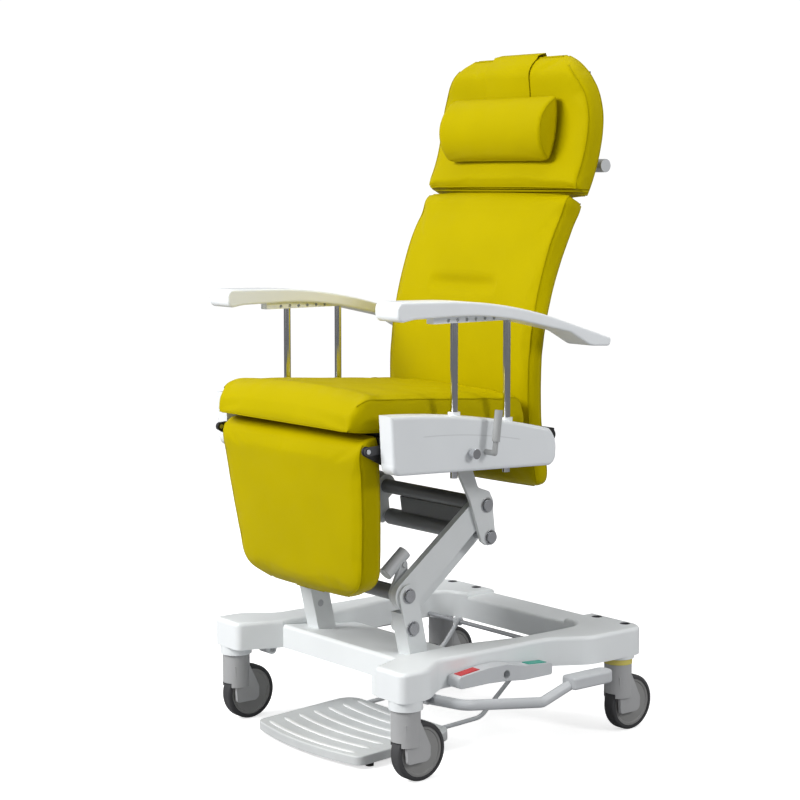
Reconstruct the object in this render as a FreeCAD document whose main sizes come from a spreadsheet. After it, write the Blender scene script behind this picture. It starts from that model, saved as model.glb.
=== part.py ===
import FreeCAD, Part
import math
import os
import re
from types import SimpleNamespace

from FreeCAD import Placement, Rotation, Vector

# Patient care chair: a castor base, a parallelogram lift, a reclining seat and adjustable arms.
# Millimetres and degrees, +Z up, the sitter looks along -Y, the sitter's left is +X.
# Origin on the floor, midway between the castors.

SIZES = [
    # castors
    ("castor_inset", 36), ("castor_setback_front", 37), ("castor_setback_rear", 54),
    ("castor_height", 157), ("trail", 32), ("wheel_radius", 62.5), ("wheel_width", 30),
    ("tyre_depth", 9.5), ("hub_width", 25), ("tyre_edge", 6), ("hub_dish", 2), ("hub_rim", 7),
    ("hub_boss_radius", 13), ("post_shell_radius", 31), ("post_shell_drop", 77), ("post_shell_wall", 3),
    ("fork_gap", 35), ("fork_mouth", 90), ("fork_leg", 8), ("fork_boss_radius", 14), ("fork_flare", 6),
    ("fork_toe", 4), ("fork_roof", 28), ("axle_radius", 5), ("stem_radius", 9), ("stem_length", 40),
    ("ring_height", 13), ("ring_radius", 32), ("bore_reach", 1), ("weld", 2),
    # base frame
    ("base_half_width", 345), ("base_front", 345), ("base_rear", 362), ("base_bottom", 177),
    ("rail_height", 63), ("waist_depth", 51), ("waist_front", 205), ("waist_rear", 105),
    ("waist_blend", 70), ("waist_tail", 85), ("leg_width", 95), ("rail_width_front", 134),
    ("rail_width_rear", 102), ("corner_pad_width", 175),
    ("waist_half_width", "=base_half_width - waist_depth"), ("leg_inner", "=base_half_width - leg_width"),
    ("inner_front", "=base_half_width - rail_width_front"),
    ("inner_rear", "=base_half_width - rail_width_rear"),
    ("corner_pad_inner", "=base_half_width - corner_pad_width"), ("leg_round", 18), ("waist_round", 60),
    ("tail_round", 80), ("rear_round", 40), ("inner_round", 90), ("inner_corner", 60),
    ("opening_lead", 40), ("platform_front", 245), ("platform_rear", 30), ("platform_front_top", 231),
    ("platform_lap", 12), ("platform_rear_top", 206), ("rear_beam_front", 272), ("rear_beam_top", 231),
    ("castor_pad_radius", 36), ("rail_edge", 9), ("beam_edge", 8), ("pump_box_inner", 115),
    ("pump_box_wide", 56), ("pump_box_deep", 50), ("pump_box_drop", 42), ("socket_inset", 45),
    ("socket_pitch", 90), ("socket_y", 338), ("socket_bore", 18),
    ("socket_x", "=base_half_width - socket_inset"), ("sleeve_wall", 3), ("sleeve_depth", 50),
    ("sleeve_relief", 5),
    # brake pedals
    ("pedal_y", 52), ("pedal_z", 192), ("pedal_width", 38), ("pedal_gap", 3), ("pedal_front", 132),
    ("pedal_rear", 132), ("pedal_pad", 80), ("pedal_height", 25), ("pedal_shaft_radius", 9),
    ("pedal_rise", 9), ("pedal_dip", 8), ("pedal_camber", 2), ("pedal_tip", 6), ("pedal_bend", 10),
    ("pedal_brow", 20), ("pedal_waist", 40), ("mark_height", 1.6), ("mark_sink", 4), ("mark_inset", 10),
    ("mark_length", 52), ("mark_width", 22), ("mark_edge", 1),
    # pump bars
    ("pump_outset", 23), ("pump_inset", 60), ("pump_y", 240), ("pump_z", 163), ("pump_tube_radius", 11.5),
    ("pump_x", "=base_half_width + pump_outset"), ("pump_pivot_x", "=base_half_width - pump_inset"),
    ("pump_pin_radius", 6), ("pump_boss_radius", 12), ("pump_boss_width", 30), ("pump_hanger", 8),
    ("pump_gap", 1), ("pump_jog", 40), ("pump_jog_drop", 6), ("pump_knee_y", 20), ("pump_knee_z", 126),
    ("paddle_front", 96), ("paddle_rear", 220), ("paddle_width", 44), ("paddle_bottom", 142),
    ("paddle_height", 28), ("paddle_nose", 8), ("paddle_heel", 20), ("paddle_edge", 6), ("pump_bend", 32),
    # step
    ("step_half_width", 188), ("step_front", 334), ("step_bow", 24.5), ("step_rear", 69),
    ("step_top", 30), ("step_thickness", 20), ("step_slope", 2.6), ("step_corner", 22), ("step_edge", 3),
    ("step_foot_radius", 9), ("step_foot_x", 168), ("step_foot_y", 292), ("step_rod_radius", 5),
    ("step_rod_x", 135), ("step_shaft_y", 215), ("step_shaft_z", 186), ("step_shaft_radius", 5),
    ("step_shaft_sink", 10), ("step_eye_radius", 10), ("step_eye_width", 16), ("step_bend", 45),
    ("step_rod_sink", 12), ("step_knee_y", 50), ("step_knee_rise", 6), ("step_neck_y", 40),
    ("step_neck_z", 46),
    # lift
    ("lift_y", 199), ("lift_z", 356), ("lever_length", 278), ("lever_angle", 38.7), ("pivot_spacing", 73),
    ("pivot_lean", 8.7), ("lever_foot_radius", 32), ("lever_head_radius", 27), ("lift_inset", 48),
    ("lever_inner", "=inner_front - lift_inset"),
    ("lever_thickness", 17), ("lift_gap", 1), ("cheek", 5), ("bracket_depth", 48), ("bracket_width", 42),
    ("bracket_lean", 33), ("bracket_top_radius", 25), ("bracket_sink", 12), ("bracket_gap", 5),
    ("pivot_radius", 8), ("cap_radius", 12.5), ("cap_height", 7), ("running_fit", 0.06),
    ("torsion_radius", 17), ("tie_radius", 16), ("tube_wall", 3.5), ("upper_plate", 8),
    ("beam_radius", 19), ("beam_set", 41), ("beam_half", "=lever_inner - beam_set"), ("web_set", 10),
    ("web_half", "=beam_half - web_set"), ("web_thickness", 8), ("web_gap", 1.5), ("link_gap", 6),
    ("link_inner", "=beam_half + link_gap"), ("link_thickness", 12), ("link_radius", 14),
    ("link_clearance", 0.4),
    ("crank_set", 23), ("crank_x", "=lever_inner - crank_set"), ("crank_height", 62), ("crank_lean", 13),
    ("crank_collar", 7), ("crank_tip", 9),
    ("crank_step", 6), ("crank_stub_y", 12), ("crank_stub_z", 24), ("crank_stub_radius", 15),
    ("crank_stub_length", 68), ("crank_plate", 8), ("crank_bolt_radius", 6), ("crank_bolt_length", 18),
    ("ear_front", 80), ("ear_half", 26), ("ear_gap", 4), ("ear_shoulder", 42), ("ear_crown", 30),
    ("ear_side", 15), ("ear_foot", 20), ("ear_back", 48), ("ear_round", 10),
    # seat
    ("seat_front", 402.5), ("seat_bottom", 726.6), ("seat_slope", 3.6), ("seat_length", 477.5),
    ("seat_half_width", 257), ("seat_thickness", 74), ("seat_crown", 10), ("draw_in", 7),
    ("seat_nose", 50), ("seat_blunt", 0.2), ("seat_heel", 22), ("seat_tuck", 26), ("seat_corner", 50),
    ("end_tuck", 8), ("board_thickness", 12), ("board_inset", 22), ("seat_lip", 84), ("rail_wide", 28),
    ("rail_deep", 28), ("cross_wide", 30), ("cross_shy", 2), ("frame_front", 100), ("frame_middle", 168),
    ("frame_rear", 427.5), ("hinge_plate", 6), ("hinge_gap", 2), ("hinge_lead", 20), ("hinge_tail", 88),
    ("hinge_pad", 12), ("hinge_round", 10), ("hinge_drop", 26), ("hinge_ear", 9),
    # side panels and arms
    ("panel_clear", 20), ("panel_inner", "=seat_half_width + panel_clear"), ("panel_thickness", 41),
    ("panel_edge", 8), ("panel_front", 352),
    ("panel_front_top", 764), ("panel_crest_y", 140), ("panel_crest_z", 748), ("panel_tail_y", 84),
    ("panel_tail_z", 707), ("panel_end_y", 104), ("panel_end_z", 655), ("panel_heel_y", 86),
    ("panel_heel_z", 626), ("panel_toe_y", 326), ("panel_toe_z", 641), ("panel_chin_y", 346),
    ("panel_chin_z", 664), ("panel_tail_bulge", 7.6), ("panel_heel_bulge", 6.5), ("panel_toe_bulge", 7),
    ("post_set", 18), ("post_x", "=panel_inner + post_set"), ("post_front", 168), ("post_rear", 22),
    ("post_radius", 8),
    ("post_bottom", 620), ("collar_radius", 13), ("collar_rise", 7), ("collar_sink", 10),
    ("arm_lap", 14), ("arm_inner", "=panel_inner - arm_lap"), ("arm_width", 76), ("arm_edge", 5),
    ("arm_front", 352), ("arm_top", 994),
    ("arm_tip", 15), ("arm_crest_y", 60), ("arm_crest_z", 988), ("arm_bow", 1200), ("arm_rear", 248),
    ("arm_rear_top", 894), ("arm_rear_low", 877), ("arm_tail", 7), ("arm_sole_y", 184),
    ("arm_sole_z", 880), ("arm_sole", 40), ("arm_heel_y", 122), ("arm_heel_z", 913), ("arm_heel", 60),
    ("arm_belly_y", 100), ("arm_belly_z", 961), ("arm_belly", 900), ("arm_lip_y", 308),
    ("arm_lip_z", 958), ("arm_lip", 60), ("arm_chin_z", 951), ("arm_core", 22), ("rack_bottom", 944),
    ("rack_width", 22), ("rack_front", 233), ("rack_rear", 10), ("rack_hole_radius", 4),
    ("rack_hole_rise", 6), ("rack_pitch", 25), ("rack_lead", 40), ("rack_seat", 8), ("knob_y", 140),
    ("knob_z", 672), ("knob_radius", 10.5), ("knob_length", 14), ("knob_gap", 4),
    ("knob_shank_radius", 5), ("knob_shank", 22), ("handle_y", 100), ("handle_z", 672),
    ("handle_shaft_radius", 6), ("handle_shank", 20), ("handle_reach", 34), ("handle_rise", 24),
    ("handle_lean", 7), ("grip_radius", 8.5), ("grip_length", 66),
    # back, head and leg sections
    ("back_gap", 52.52), ("back_waist_y", "=seat_length * cos(seat_slope) - seat_front + back_gap"),
    ("back_hinge_set", 8.6), ("back_hinge_y", "=back_waist_y - back_hinge_set"), ("back_hinge_z", 660),
    ("back_narrow", 8), ("back_half_width", "=seat_half_width - back_narrow"), ("back_crown", 10),
    ("back_waist_z", 788.6), ("back_bend_low", 800),
    ("back_bend_high", 620), ("back_bottom", 562), ("back_top", 1184), ("back_heel", 34),
    ("back_nose", 20), ("back_foot_blunt", 0.25), ("back_top_blunt", 0.72), ("back_corner", 40),
    ("back_thin", 38), ("back_thick", 54), ("back_strap_rise", 22), ("back_strap_height", 30),
    ("tang_drop", 50), ("tang_gap", 4), ("head_peak_set", 178.4),
    ("head_peak_y", "=back_waist_y + head_peak_set"), ("head_peak_z", 1402), ("head_bend", 411),
    ("head_bottom", 1197), ("head_top", 1518), ("head_heel", 18), ("head_nose", 44),
    ("head_foot_blunt", 0.72), ("head_corner", 120), ("head_shoulder", 175), ("head_hinge_back", 26),
    ("head_board_inset", 60), ("head_lug_rise", 76), ("back_board_inset", 34),
    ("back_board_half", "=back_half_width - back_board_inset"), ("section_board", 10),
    ("board_gap", 1.5), ("back_lug_gap", 6), ("lug_radius", 14), ("head_over", 10),
    ("head_half_width", "=back_half_width + head_over"),
    ("head_crown", 8), ("head_hinge_z", 1194), ("head_thickness", 50), ("head_lug_x", 66),
    ("head_pin_radius", 5), ("head_lug_radius", 11), ("head_lug_gap", 1), ("leg_hinge_y", 374),
    ("leg_hinge_z", 690), ("leg_hinge_radius", 5), ("leg_lug_gap", 2), ("leg_plate", 5),
    ("leg_plate_gap", 1), ("leg_ear", 10), ("leg_strap_drop", 56), ("leg_strap_height", 34),
    ("leg_over", 1), ("leg_half_width", "=seat_half_width + leg_over"), ("leg_narrowing", 46),
    ("leg_foot_half", "=leg_half_width - leg_narrowing"), ("leg_thickness", 52), ("leg_crown", 8),
    ("leg_length", 360), ("leg_tilt", 6.5), ("leg_rise", 22), ("leg_face", 12), ("leg_board_inset", 37),
    ("leg_board_half", "=leg_foot_half - leg_board_inset"),
    ("leg_nose", 30), ("leg_nose_blunt", 0.25), ("leg_foot", 46), ("leg_foot_blunt", 0.3),
    ("leg_corner", 120), ("leg_shoulder", 60), ("leg_taper", 1.6),
    # push handle, neck roll and strap
    ("push_set", 218.4), ("push_y", "=back_waist_y + push_set"), ("push_z", 1268), ("push_half", 215),
    ("push_radius", 15), ("push_arm_x", 150), ("push_arm_radius", 9), ("push_foot", 80),
    ("pillow_half", 172), ("pillow_height", 150), ("pillow_depth", 56), ("pillow_drop", 166),
    ("pillow_gap", 4.5), ("pillow_end", 8), ("pillow_pinch", 0.12), ("pillow_sag", 12), ("pillow_set", 14),
    ("strap_half", 74), ("strap_thickness", 2), ("strap_gap", 2), ("strap_tail", 62), ("strap_back", 130),
]
NAMES = {alias for alias, _ in SIZES}

doc = FreeCAD.newDocument("PatientCareChair")
sheet = doc.addObject("Spreadsheet::Sheet", "Sizes")
for row, (alias, _) in enumerate(SIZES, start=1):
    sheet.set(f"A{row}", alias)
    sheet.setAlias(f"B{row}", alias)
for row, (_, value) in enumerate(SIZES, start=1):
    sheet.set(f"B{row}", str(value))
doc.recompute()
s = SimpleNamespace(**{alias: float(sheet.get(alias)) for alias in NAMES})

ABOUT_X = Rotation(Vector(0, 1, 0), 90)
ABOUT_Y = Rotation(Vector(1, 0, 0), -90)
UPRIGHT = Rotation()
SIDES = (("left", 1), ("right", -1))
NODES = []
END_SHARE = 0.06
CORNER_SHARE = 0.01
GRADES = (0, 0.2, 0.55, 1)
CREST_GRADES = (1, 0.75, 0.5, 0.28, 0.1)
STRAP_STEPS = 7
STRAP_TURNS = 4
RACK_HOLES = 6
SEAT_SPANS, BACK_SPANS, HEAD_SPANS, LEG_SPANS, ROLL_SPANS = 5, 8, 7, 7, 5


def node(obj, label):
    """Names a finished sub-part and lists it for writing."""
    obj.Label = label
    NODES.append(obj)
    return obj


def bind(obj, **sizes):
    """Ties properties to sheet cells; a cell is written by its alias alone."""
    for name, text in sizes.items():
        linked = re.sub(r"[a-z_]+", lambda m: ("Sizes." if m.group() in NAMES else "") + m.group(), text)
        obj.setExpression(name, linked)
    return obj


def cylinder(name, radius, length, base, turn=UPRIGHT):
    obj = bind(doc.addObject("Part::Cylinder", name), Radius=radius, Height=length)
    obj.Placement = Placement(Vector(*base), turn)
    return obj


def box(name, wide, deep, high, base, turn=UPRIGHT):
    obj = bind(doc.addObject("Part::Box", name), Length=wide, Width=deep, Height=high)
    obj.Placement = Placement(Vector(*base), turn)
    return obj


def fuse(name, *solids):
    obj = doc.addObject("Part::MultiFuse", name)
    obj.Shapes = list(solids)
    return obj


def cut(name, base, *tools):
    obj = doc.addObject("Part::Cut", name)
    obj.Base = base
    obj.Tool = tools[0] if len(tools) == 1 else fuse(name + "_tools", *tools)
    return obj


def common(name, base, tool):
    obj = doc.addObject("Part::Common", name)
    obj.Base = base
    obj.Tool = tool
    return obj


def group(name, *solids):
    obj = doc.addObject("Part::Compound", name)
    obj.Links = list(solids)
    return obj


def mirrored(name, solid):
    """The same solid on the other side of the chair's middle plane."""
    obj = doc.addObject("Part::Mirroring", name)
    obj.Source = solid
    obj.Normal = Vector(1, 0, 0)
    return obj


def tube(name, radius, wall, length, base, turn=UPRIGHT):
    outer = cylinder(name + "_outer", radius, length, base, turn)
    inner = cylinder(name + "_inner", f"{radius} - {wall}", length, base, turn)
    return cut(name, outer, inner)


# Outlines: lists of ("line", a, b) and ("arc", a, through, b) in a plane's own two directions.

def polygon(*corners):
    """A closed outline; a corner is (u, v) or (u, v, radius)."""
    points = [Vector(c[0], c[1], 0) for c in corners]
    radii = [c[2] if len(c) > 2 else 0 for c in corners]
    count = len(corners)
    starts, ends, arcs = [], [], []
    for i in range(count):
        here = points[i]
        back = (points[i - 1] - here).normalize()
        ahead = (points[(i + 1) % count] - here).normalize()
        if radii[i] <= 0:
            starts.append(here)
            ends.append(here)
            arcs.append(None)
            continue
        half = back.getAngle(ahead) / 2
        reach = radii[i] / math.tan(half)
        centre = here + (back + ahead).normalize() * (radii[i] / math.sin(half))
        middle = centre + (here - centre).normalize() * radii[i]
        starts.append(here + back * reach)
        ends.append(here + ahead * reach)
        arcs.append(middle)
    outline = []
    for i in range(count):
        if arcs[i] is not None:
            outline.append(("arc", starts[i], arcs[i], ends[i]))
        outline.append(("line", ends[i], starts[(i + 1) % count]))
    return outline


def chain(*items):
    """A closed outline through points; ("via", u, v) bends the stretch between its neighbours."""
    outline = []
    points = [item for item in items if item[0] != "via"]
    index = 0
    for i, item in enumerate(items):
        if item[0] == "via":
            continue
        start = Vector(*item, 0)
        stop = Vector(*points[(index + 1) % len(points)], 0)
        after = items[(i + 1) % len(items)]
        if after[0] == "via":
            outline.append(("arc", start, Vector(after[1], after[2], 0), stop))
        else:
            outline.append(("line", start, stop))
        index += 1
    return outline


def bulge(a, b, height):
    """The point that bends the stretch from a to b outwards, for an outline that runs clockwise."""
    along = Vector(b[0] - a[0], b[1] - a[1], 0).normalize()
    return ("via", (a[0] + b[0]) / 2 - along.y * height, (a[1] + b[1]) / 2 + along.x * height)


def band(points, thickness):
    """A strip of even thickness on the left of a run of points."""
    outer = []
    for i, spot in enumerate(points):
        along = (points[min(i + 1, len(points) - 1)] - points[max(i - 1, 0)]).normalize()
        outer.append(spot + Vector(-along.y, along.x, 0) * thickness)
    return polygon(*[(spot.x, spot.y) for spot in points + outer[::-1]])


def strap_outline(p, rp, q, rq):
    """Two round ends joined by their common tangents."""
    a, b = Vector(*p, 0), Vector(*q, 0)
    along = (b - a).normalize()
    turn = math.acos((rp - rq) / (b - a).Length)
    heading = math.atan2(along.y, along.x)
    up = Vector(math.cos(heading + turn), math.sin(heading + turn), 0)
    low = Vector(math.cos(heading - turn), math.sin(heading - turn), 0)
    return [
        ("line", a + up * rp, b + up * rq),
        ("arc", b + up * rq, b + along * rq, b + low * rq),
        ("line", b + low * rq, a + low * rp),
        ("arc", a + low * rp, a - along * rp, a + up * rp),
    ]


def draw(sketch, outline):
    for kind, *points in outline:
        maker = Part.LineSegment if kind == "line" else Part.ArcOfCircle
        sketch.addGeometry(maker(*points), False)


def plate(name, role, outline, depth, offset, holes=()):
    """A body padded from an outline on one of its origin planes; holes are (u, v, radius)."""
    body = doc.addObject("PartDesign::Body", name)
    sketch = body.newObject("Sketcher::SketchObject", name + "_outline")
    plane = next(feature for feature in body.Origin.OriginFeatures if feature.Role == role)
    sketch.AttachmentSupport = [(plane, "")]
    sketch.MapMode = "FlatFace"
    sketch.AttachmentOffset = Placement(Vector(0, 0, offset), UPRIGHT)
    draw(sketch, outline)
    for u, v, radius in holes:
        sketch.addGeometry(Part.Circle(Vector(u, v, 0), Vector(0, 0, 1), radius), False)
    pad = body.newObject("PartDesign::Pad", name + "_pad")
    pad.Profile = sketch
    bind(pad, Length=depth)
    return body


def side_plate(name, outline, thickness, inner, side, holes=()):
    """An upright plate in the YZ plane whose inner face is at x = inner on the given side."""
    depth = getattr(s, thickness)
    return plate(name, "YZ_Plane", outline, thickness, inner if side > 0 else -inner - depth, holes)


def round_edges(body, radius, chosen):
    """Rounds the chosen edges of a body's last feature."""
    doc.recompute()
    base = body.Tip
    edges = [f"Edge{i}" for i, edge in enumerate(base.Shape.Edges, start=1) if chosen(edge)]
    fillet = body.newObject("PartDesign::Fillet", body.Name + "_round")
    fillet.Base = (base, edges)
    bind(fillet, Radius=radius)
    return body


def spun(name, outline, centre):
    """A body turned about the X axis through centre; the outline is in (x, radius)."""
    body = doc.addObject("PartDesign::Body", name)
    sketch = body.newObject("Sketcher::SketchObject", name + "_section")
    plane = next(feature for feature in body.Origin.OriginFeatures if feature.Role == "XY_Plane")
    sketch.AttachmentSupport = [(plane, "")]
    sketch.MapMode = "FlatFace"
    draw(sketch, outline)
    turn = body.newObject("PartDesign::Revolution", name + "_turn")
    turn.Profile = sketch
    turn.ReferenceAxis = (sketch, ["H_Axis"])
    turn.Angle = 360
    body.Placement = Placement(Vector(*centre), UPRIGHT)
    return body


def bent_bar(name, radius, bend, *points):
    """A round bar along straight runs joined by tangent arcs."""
    spots = [Vector(*p) for p in points]
    edges = []
    start = spots[0]
    for i in range(1, len(spots) - 1):
        back = (spots[i - 1] - spots[i]).normalize()
        ahead = (spots[i + 1] - spots[i]).normalize()
        half = back.getAngle(ahead) / 2
        reach = bend / math.tan(half)
        first, last = spots[i] + back * reach, spots[i] + ahead * reach
        centre = spots[i] + (back + ahead).normalize() * (bend / math.sin(half))
        edges.append(Part.LineSegment(start, first).toShape())
        edges.append(Part.Arc(first, centre + (spots[i] - centre).normalize() * bend, last).toShape())
        start = last
    edges.append(Part.LineSegment(start, spots[-1]).toShape())
    path = doc.addObject("Part::Feature", name + "_path")
    path.Shape = Part.Wire(edges)
    ring = bind(doc.addObject("Part::Circle", name + "_ring"), Radius=radius)
    ring.Placement = Placement(spots[0], Rotation(Vector(0, 0, 1), spots[1] - spots[0]))
    sweep = doc.addObject("Part::Sweep", name)
    sweep.Sections = [ring]
    sweep.Spine = (path, [f"Edge{i}" for i in range(1, len(edges) + 1)])
    sweep.Solid = True
    sweep.Transition = "Transformed"
    return sweep


# Pads: lofts through sections square to a spine. A station is
# (y, z, lean, half width, thickness, crown): the spine's point on the back face, its lean from upright.

def pad_section(station, facing):
    y, z, lean, half, thick, crown = station
    angle = math.radians(lean)
    out = Vector(0, facing * math.cos(angle), facing * -math.sin(angle))

    def at(u, n):
        return Vector(u, y, z) + out * n

    inner = half - s.draw_in
    low_left, low_right = at(-inner, 0), at(inner, 0)
    top_left, top_right = at(-inner, thick), at(inner, thick)
    edges = [
        Part.LineSegment(low_left, low_right).toShape(),
        Part.Arc(low_right, at(half, thick / 2), top_right).toShape(),
        Part.Arc(top_right, at(0, thick + crown), top_left).toShape(),
        Part.Arc(top_left, at(-half, thick / 2), low_left).toShape(),
    ]
    return Part.Wire(edges)


def ease(distance, reach, least=END_SHARE):
    """A rounded end: the height of a quarter ellipse at a distance from its tip."""
    t = max(least, min(1, distance / reach))
    return math.sqrt(1 - (1 - t) ** 2)


def end_share(distance, reach, blunt):
    """Share of the full thickness near an end that keeps a blunt share at its tip."""
    return blunt + (1 - blunt) * ease(distance, reach)


def stops(length, lead, tail, count):
    """Places along a pad, close together where its two ends are rounded."""
    middle = [lead + (length - lead - tail) * i / count for i in range(1, round(count))]
    return [lead * g for g in GRADES] + middle + [length - tail * g for g in reversed(GRADES)]


def padded(name, stations, facing=-1):
    obj = doc.addObject("Part::Feature", name)
    obj.Shape = Part.makeLoft([pad_section(station, facing) for station in stations], True, False)
    return obj


def slab(name, stations, half, thickness, facing=1):
    """A board behind a pad, following the same spine with straight runs."""
    wires = []
    for y, z, lean, *_ in stations:
        angle = math.radians(lean)
        normal = Vector(0, facing * math.cos(angle), facing * -math.sin(angle))
        out, start = normal * thickness, normal * s.board_gap
        near_left, near_right = Vector(-half, y, z) + start, Vector(half, y, z) + start
        wires.append(Part.makePolygon([near_left, near_right, near_right + out, near_left + out, near_left]))
    obj = doc.addObject("Part::Feature", name)
    obj.Shape = Part.makeLoft(wires, True, True)
    return obj


# Castors

def castor(corner, x, y):
    """A swivel fork with its stem and axle, and a wheel of disc and tyre."""
    top = s.castor_height
    axle_y, axle_z = y + s.trail, s.wheel_radius
    leg_low = s.wheel_radius - s.fork_boss_radius - s.fork_toe
    half_gap = s.fork_gap / 2
    name = "castor_fork_" + corner
    shell = cylinder(name + "_shell", "post_shell_radius", "post_shell_drop",
                     (x, y, top - s.post_shell_drop))
    legs = []
    for tag, side in SIDES:
        tongue = plate(f"{name}_leg_{tag}", "YZ_Plane", polygon(
            (y - s.fork_boss_radius - s.fork_flare, top - s.fork_roof),
            (y - s.fork_boss_radius, leg_low, s.fork_boss_radius / 2),
            (axle_y + s.fork_boss_radius, leg_low, s.fork_boss_radius),
            (axle_y + s.fork_boss_radius, axle_z + s.fork_boss_radius, s.fork_boss_radius),
            (y + s.fork_boss_radius + s.fork_flare, top - s.fork_roof)),
            "fork_leg", x + side * half_gap if side > 0 else x - half_gap - s.fork_leg)
        legs.append(tongue)
    stem = cylinder(name + "_stem", "stem_radius", "stem_length", (x, y, top))
    body = fuse(name + "_body", shell, *legs, stem)
    high = "castor_height - fork_roof"
    hollow = cylinder(name + "_hollow", "post_shell_radius - post_shell_wall", high, (x, y, 0))
    slot = box(name + "_slot", "fork_gap", "post_shell_radius * 2", high,
               (x - half_gap, y - s.post_shell_radius, 0))
    well = box(name + "_well", "fork_gap", "post_shell_radius * 2", high, (x - half_gap, y, 0))
    mouth = box(name + "_mouth", "fork_gap", "post_shell_radius * 2", "fork_mouth",
                (x - half_gap, y - s.post_shell_radius * 1.5, 0))
    axle = cylinder(name + "_axle", "axle_radius", "fork_gap + 2 * fork_leg",
                    (x - half_gap - s.fork_leg, axle_y, axle_z), ABOUT_X)
    open_body = cut(name + "_slotted", body, common(name + "_front", hollow, slot), well, mouth)
    node(fuse(name, open_body, axle), name)

    rim = s.wheel_radius - s.tyre_depth
    half_hub, half_tyre = s.hub_width / 2, s.wheel_width / 2
    bore = s.axle_radius + s.running_fit
    hub = spun(f"castor_hub_{corner}", polygon(
        (-half_hub, bore), (-half_hub, s.hub_boss_radius),
        (-half_hub + s.hub_dish, s.hub_boss_radius + s.hub_dish),
        (-half_hub + s.hub_dish, rim - s.hub_rim), (-half_hub, rim - s.hub_rim + s.hub_dish), (-half_hub, rim),
        (half_hub, rim), (half_hub, rim - s.hub_rim + s.hub_dish), (half_hub - s.hub_dish, rim - s.hub_rim),
        (half_hub - s.hub_dish, s.hub_boss_radius + s.hub_dish), (half_hub, s.hub_boss_radius),
        (half_hub, bore)),
        (x, axle_y, axle_z))
    tyre = spun(f"castor_tyre_{corner}", polygon(
        (-half_tyre, rim), (-half_tyre, s.wheel_radius, s.tyre_edge),
        (half_tyre, s.wheel_radius, s.tyre_edge), (half_tyre, rim)), (x, axle_y, axle_z))
    node(group("castor_wheel_" + corner, hub, tyre), "castor_wheel_" + corner)


ROWS = (("front", s.castor_setback_front - s.base_front), ("rear", s.base_rear - s.castor_setback_rear))
CORNERS = [(f"{end}_{tag}", side * (s.base_half_width - s.castor_inset), row_y)
           for end, row_y in ROWS for tag, side in SIDES]
for corner_name, corner_x, corner_y in CORNERS:
    castor(corner_name, corner_x, corner_y)


# Base frame

PUMP_REACH = s.pump_boss_width / 2 + s.pump_gap
PUMP_INNER = s.pump_pivot_x - PUMP_REACH - s.pump_hanger


def side_rail(tag, side):
    """One waisted side rail with its front leg and rear corner pad."""
    w, lead = s.base_half_width, s.platform_rear + s.opening_lead
    corners = [
        (w, -s.base_front, s.leg_round), (w, -s.waist_front - s.waist_blend, s.waist_round),
        (s.waist_half_width, -s.waist_front, s.waist_round), (s.waist_half_width, s.waist_rear, s.tail_round),
        (w, s.waist_rear + s.waist_tail, s.tail_round), (w, s.base_rear, s.rear_round),
        (s.corner_pad_inner, s.base_rear), (s.corner_pad_inner, s.rear_beam_front),
        (s.inner_rear, s.rear_beam_front, s.inner_corner), (s.inner_rear, lead, s.inner_round),
        (s.inner_front, -lead, s.inner_round), (s.inner_front, -s.platform_front),
        (s.leg_inner, -s.base_front, s.leg_round)]
    if side < 0:
        corners = [(-c[0], *c[1:]) for c in corners]
    rail = plate("rail_" + tag, "XY_Plane", polygon(*corners), "rail_height", s.base_bottom)
    crest = s.base_bottom + s.rail_height
    return round_edges(rail, "rail_edge", lambda e: min(v.Z for v in e.Vertexes) > crest - 0.01)


def base_bores(crest):
    """Stem holes, accessory sockets, and the holes of the pedal shaft and the step shaft."""
    bores = []
    for corner, x, y in CORNERS:
        bores.append(cylinder(f"stem_bore_{corner}", "stem_radius + running_fit",
                              "stem_length + 2 * bore_reach", (x, y, s.castor_height - s.bore_reach)))
    for tag, side in SIDES:
        for i in range(2):
            x = side * (s.socket_x - i * s.socket_pitch)
            bores.append(cylinder(f"socket_hole_{tag}_{i}", "socket_bore / 2 + sleeve_wall",
                                  "sleeve_depth + sleeve_relief", (x, s.socket_y, crest - s.sleeve_depth)))
    bores.append(cylinder("pedal_bore", "pedal_shaft_radius + running_fit", "2 * base_half_width",
                          (-s.base_half_width, -s.pedal_y, s.pedal_z), ABOUT_X))
    bores.append(cylinder("step_bore", "step_shaft_radius", "2 * inner_rear + 2 * step_shaft_sink",
                          (-s.inner_rear - s.step_shaft_sink, s.step_shaft_y, s.step_shaft_z), ABOUT_X))
    return bores


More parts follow.
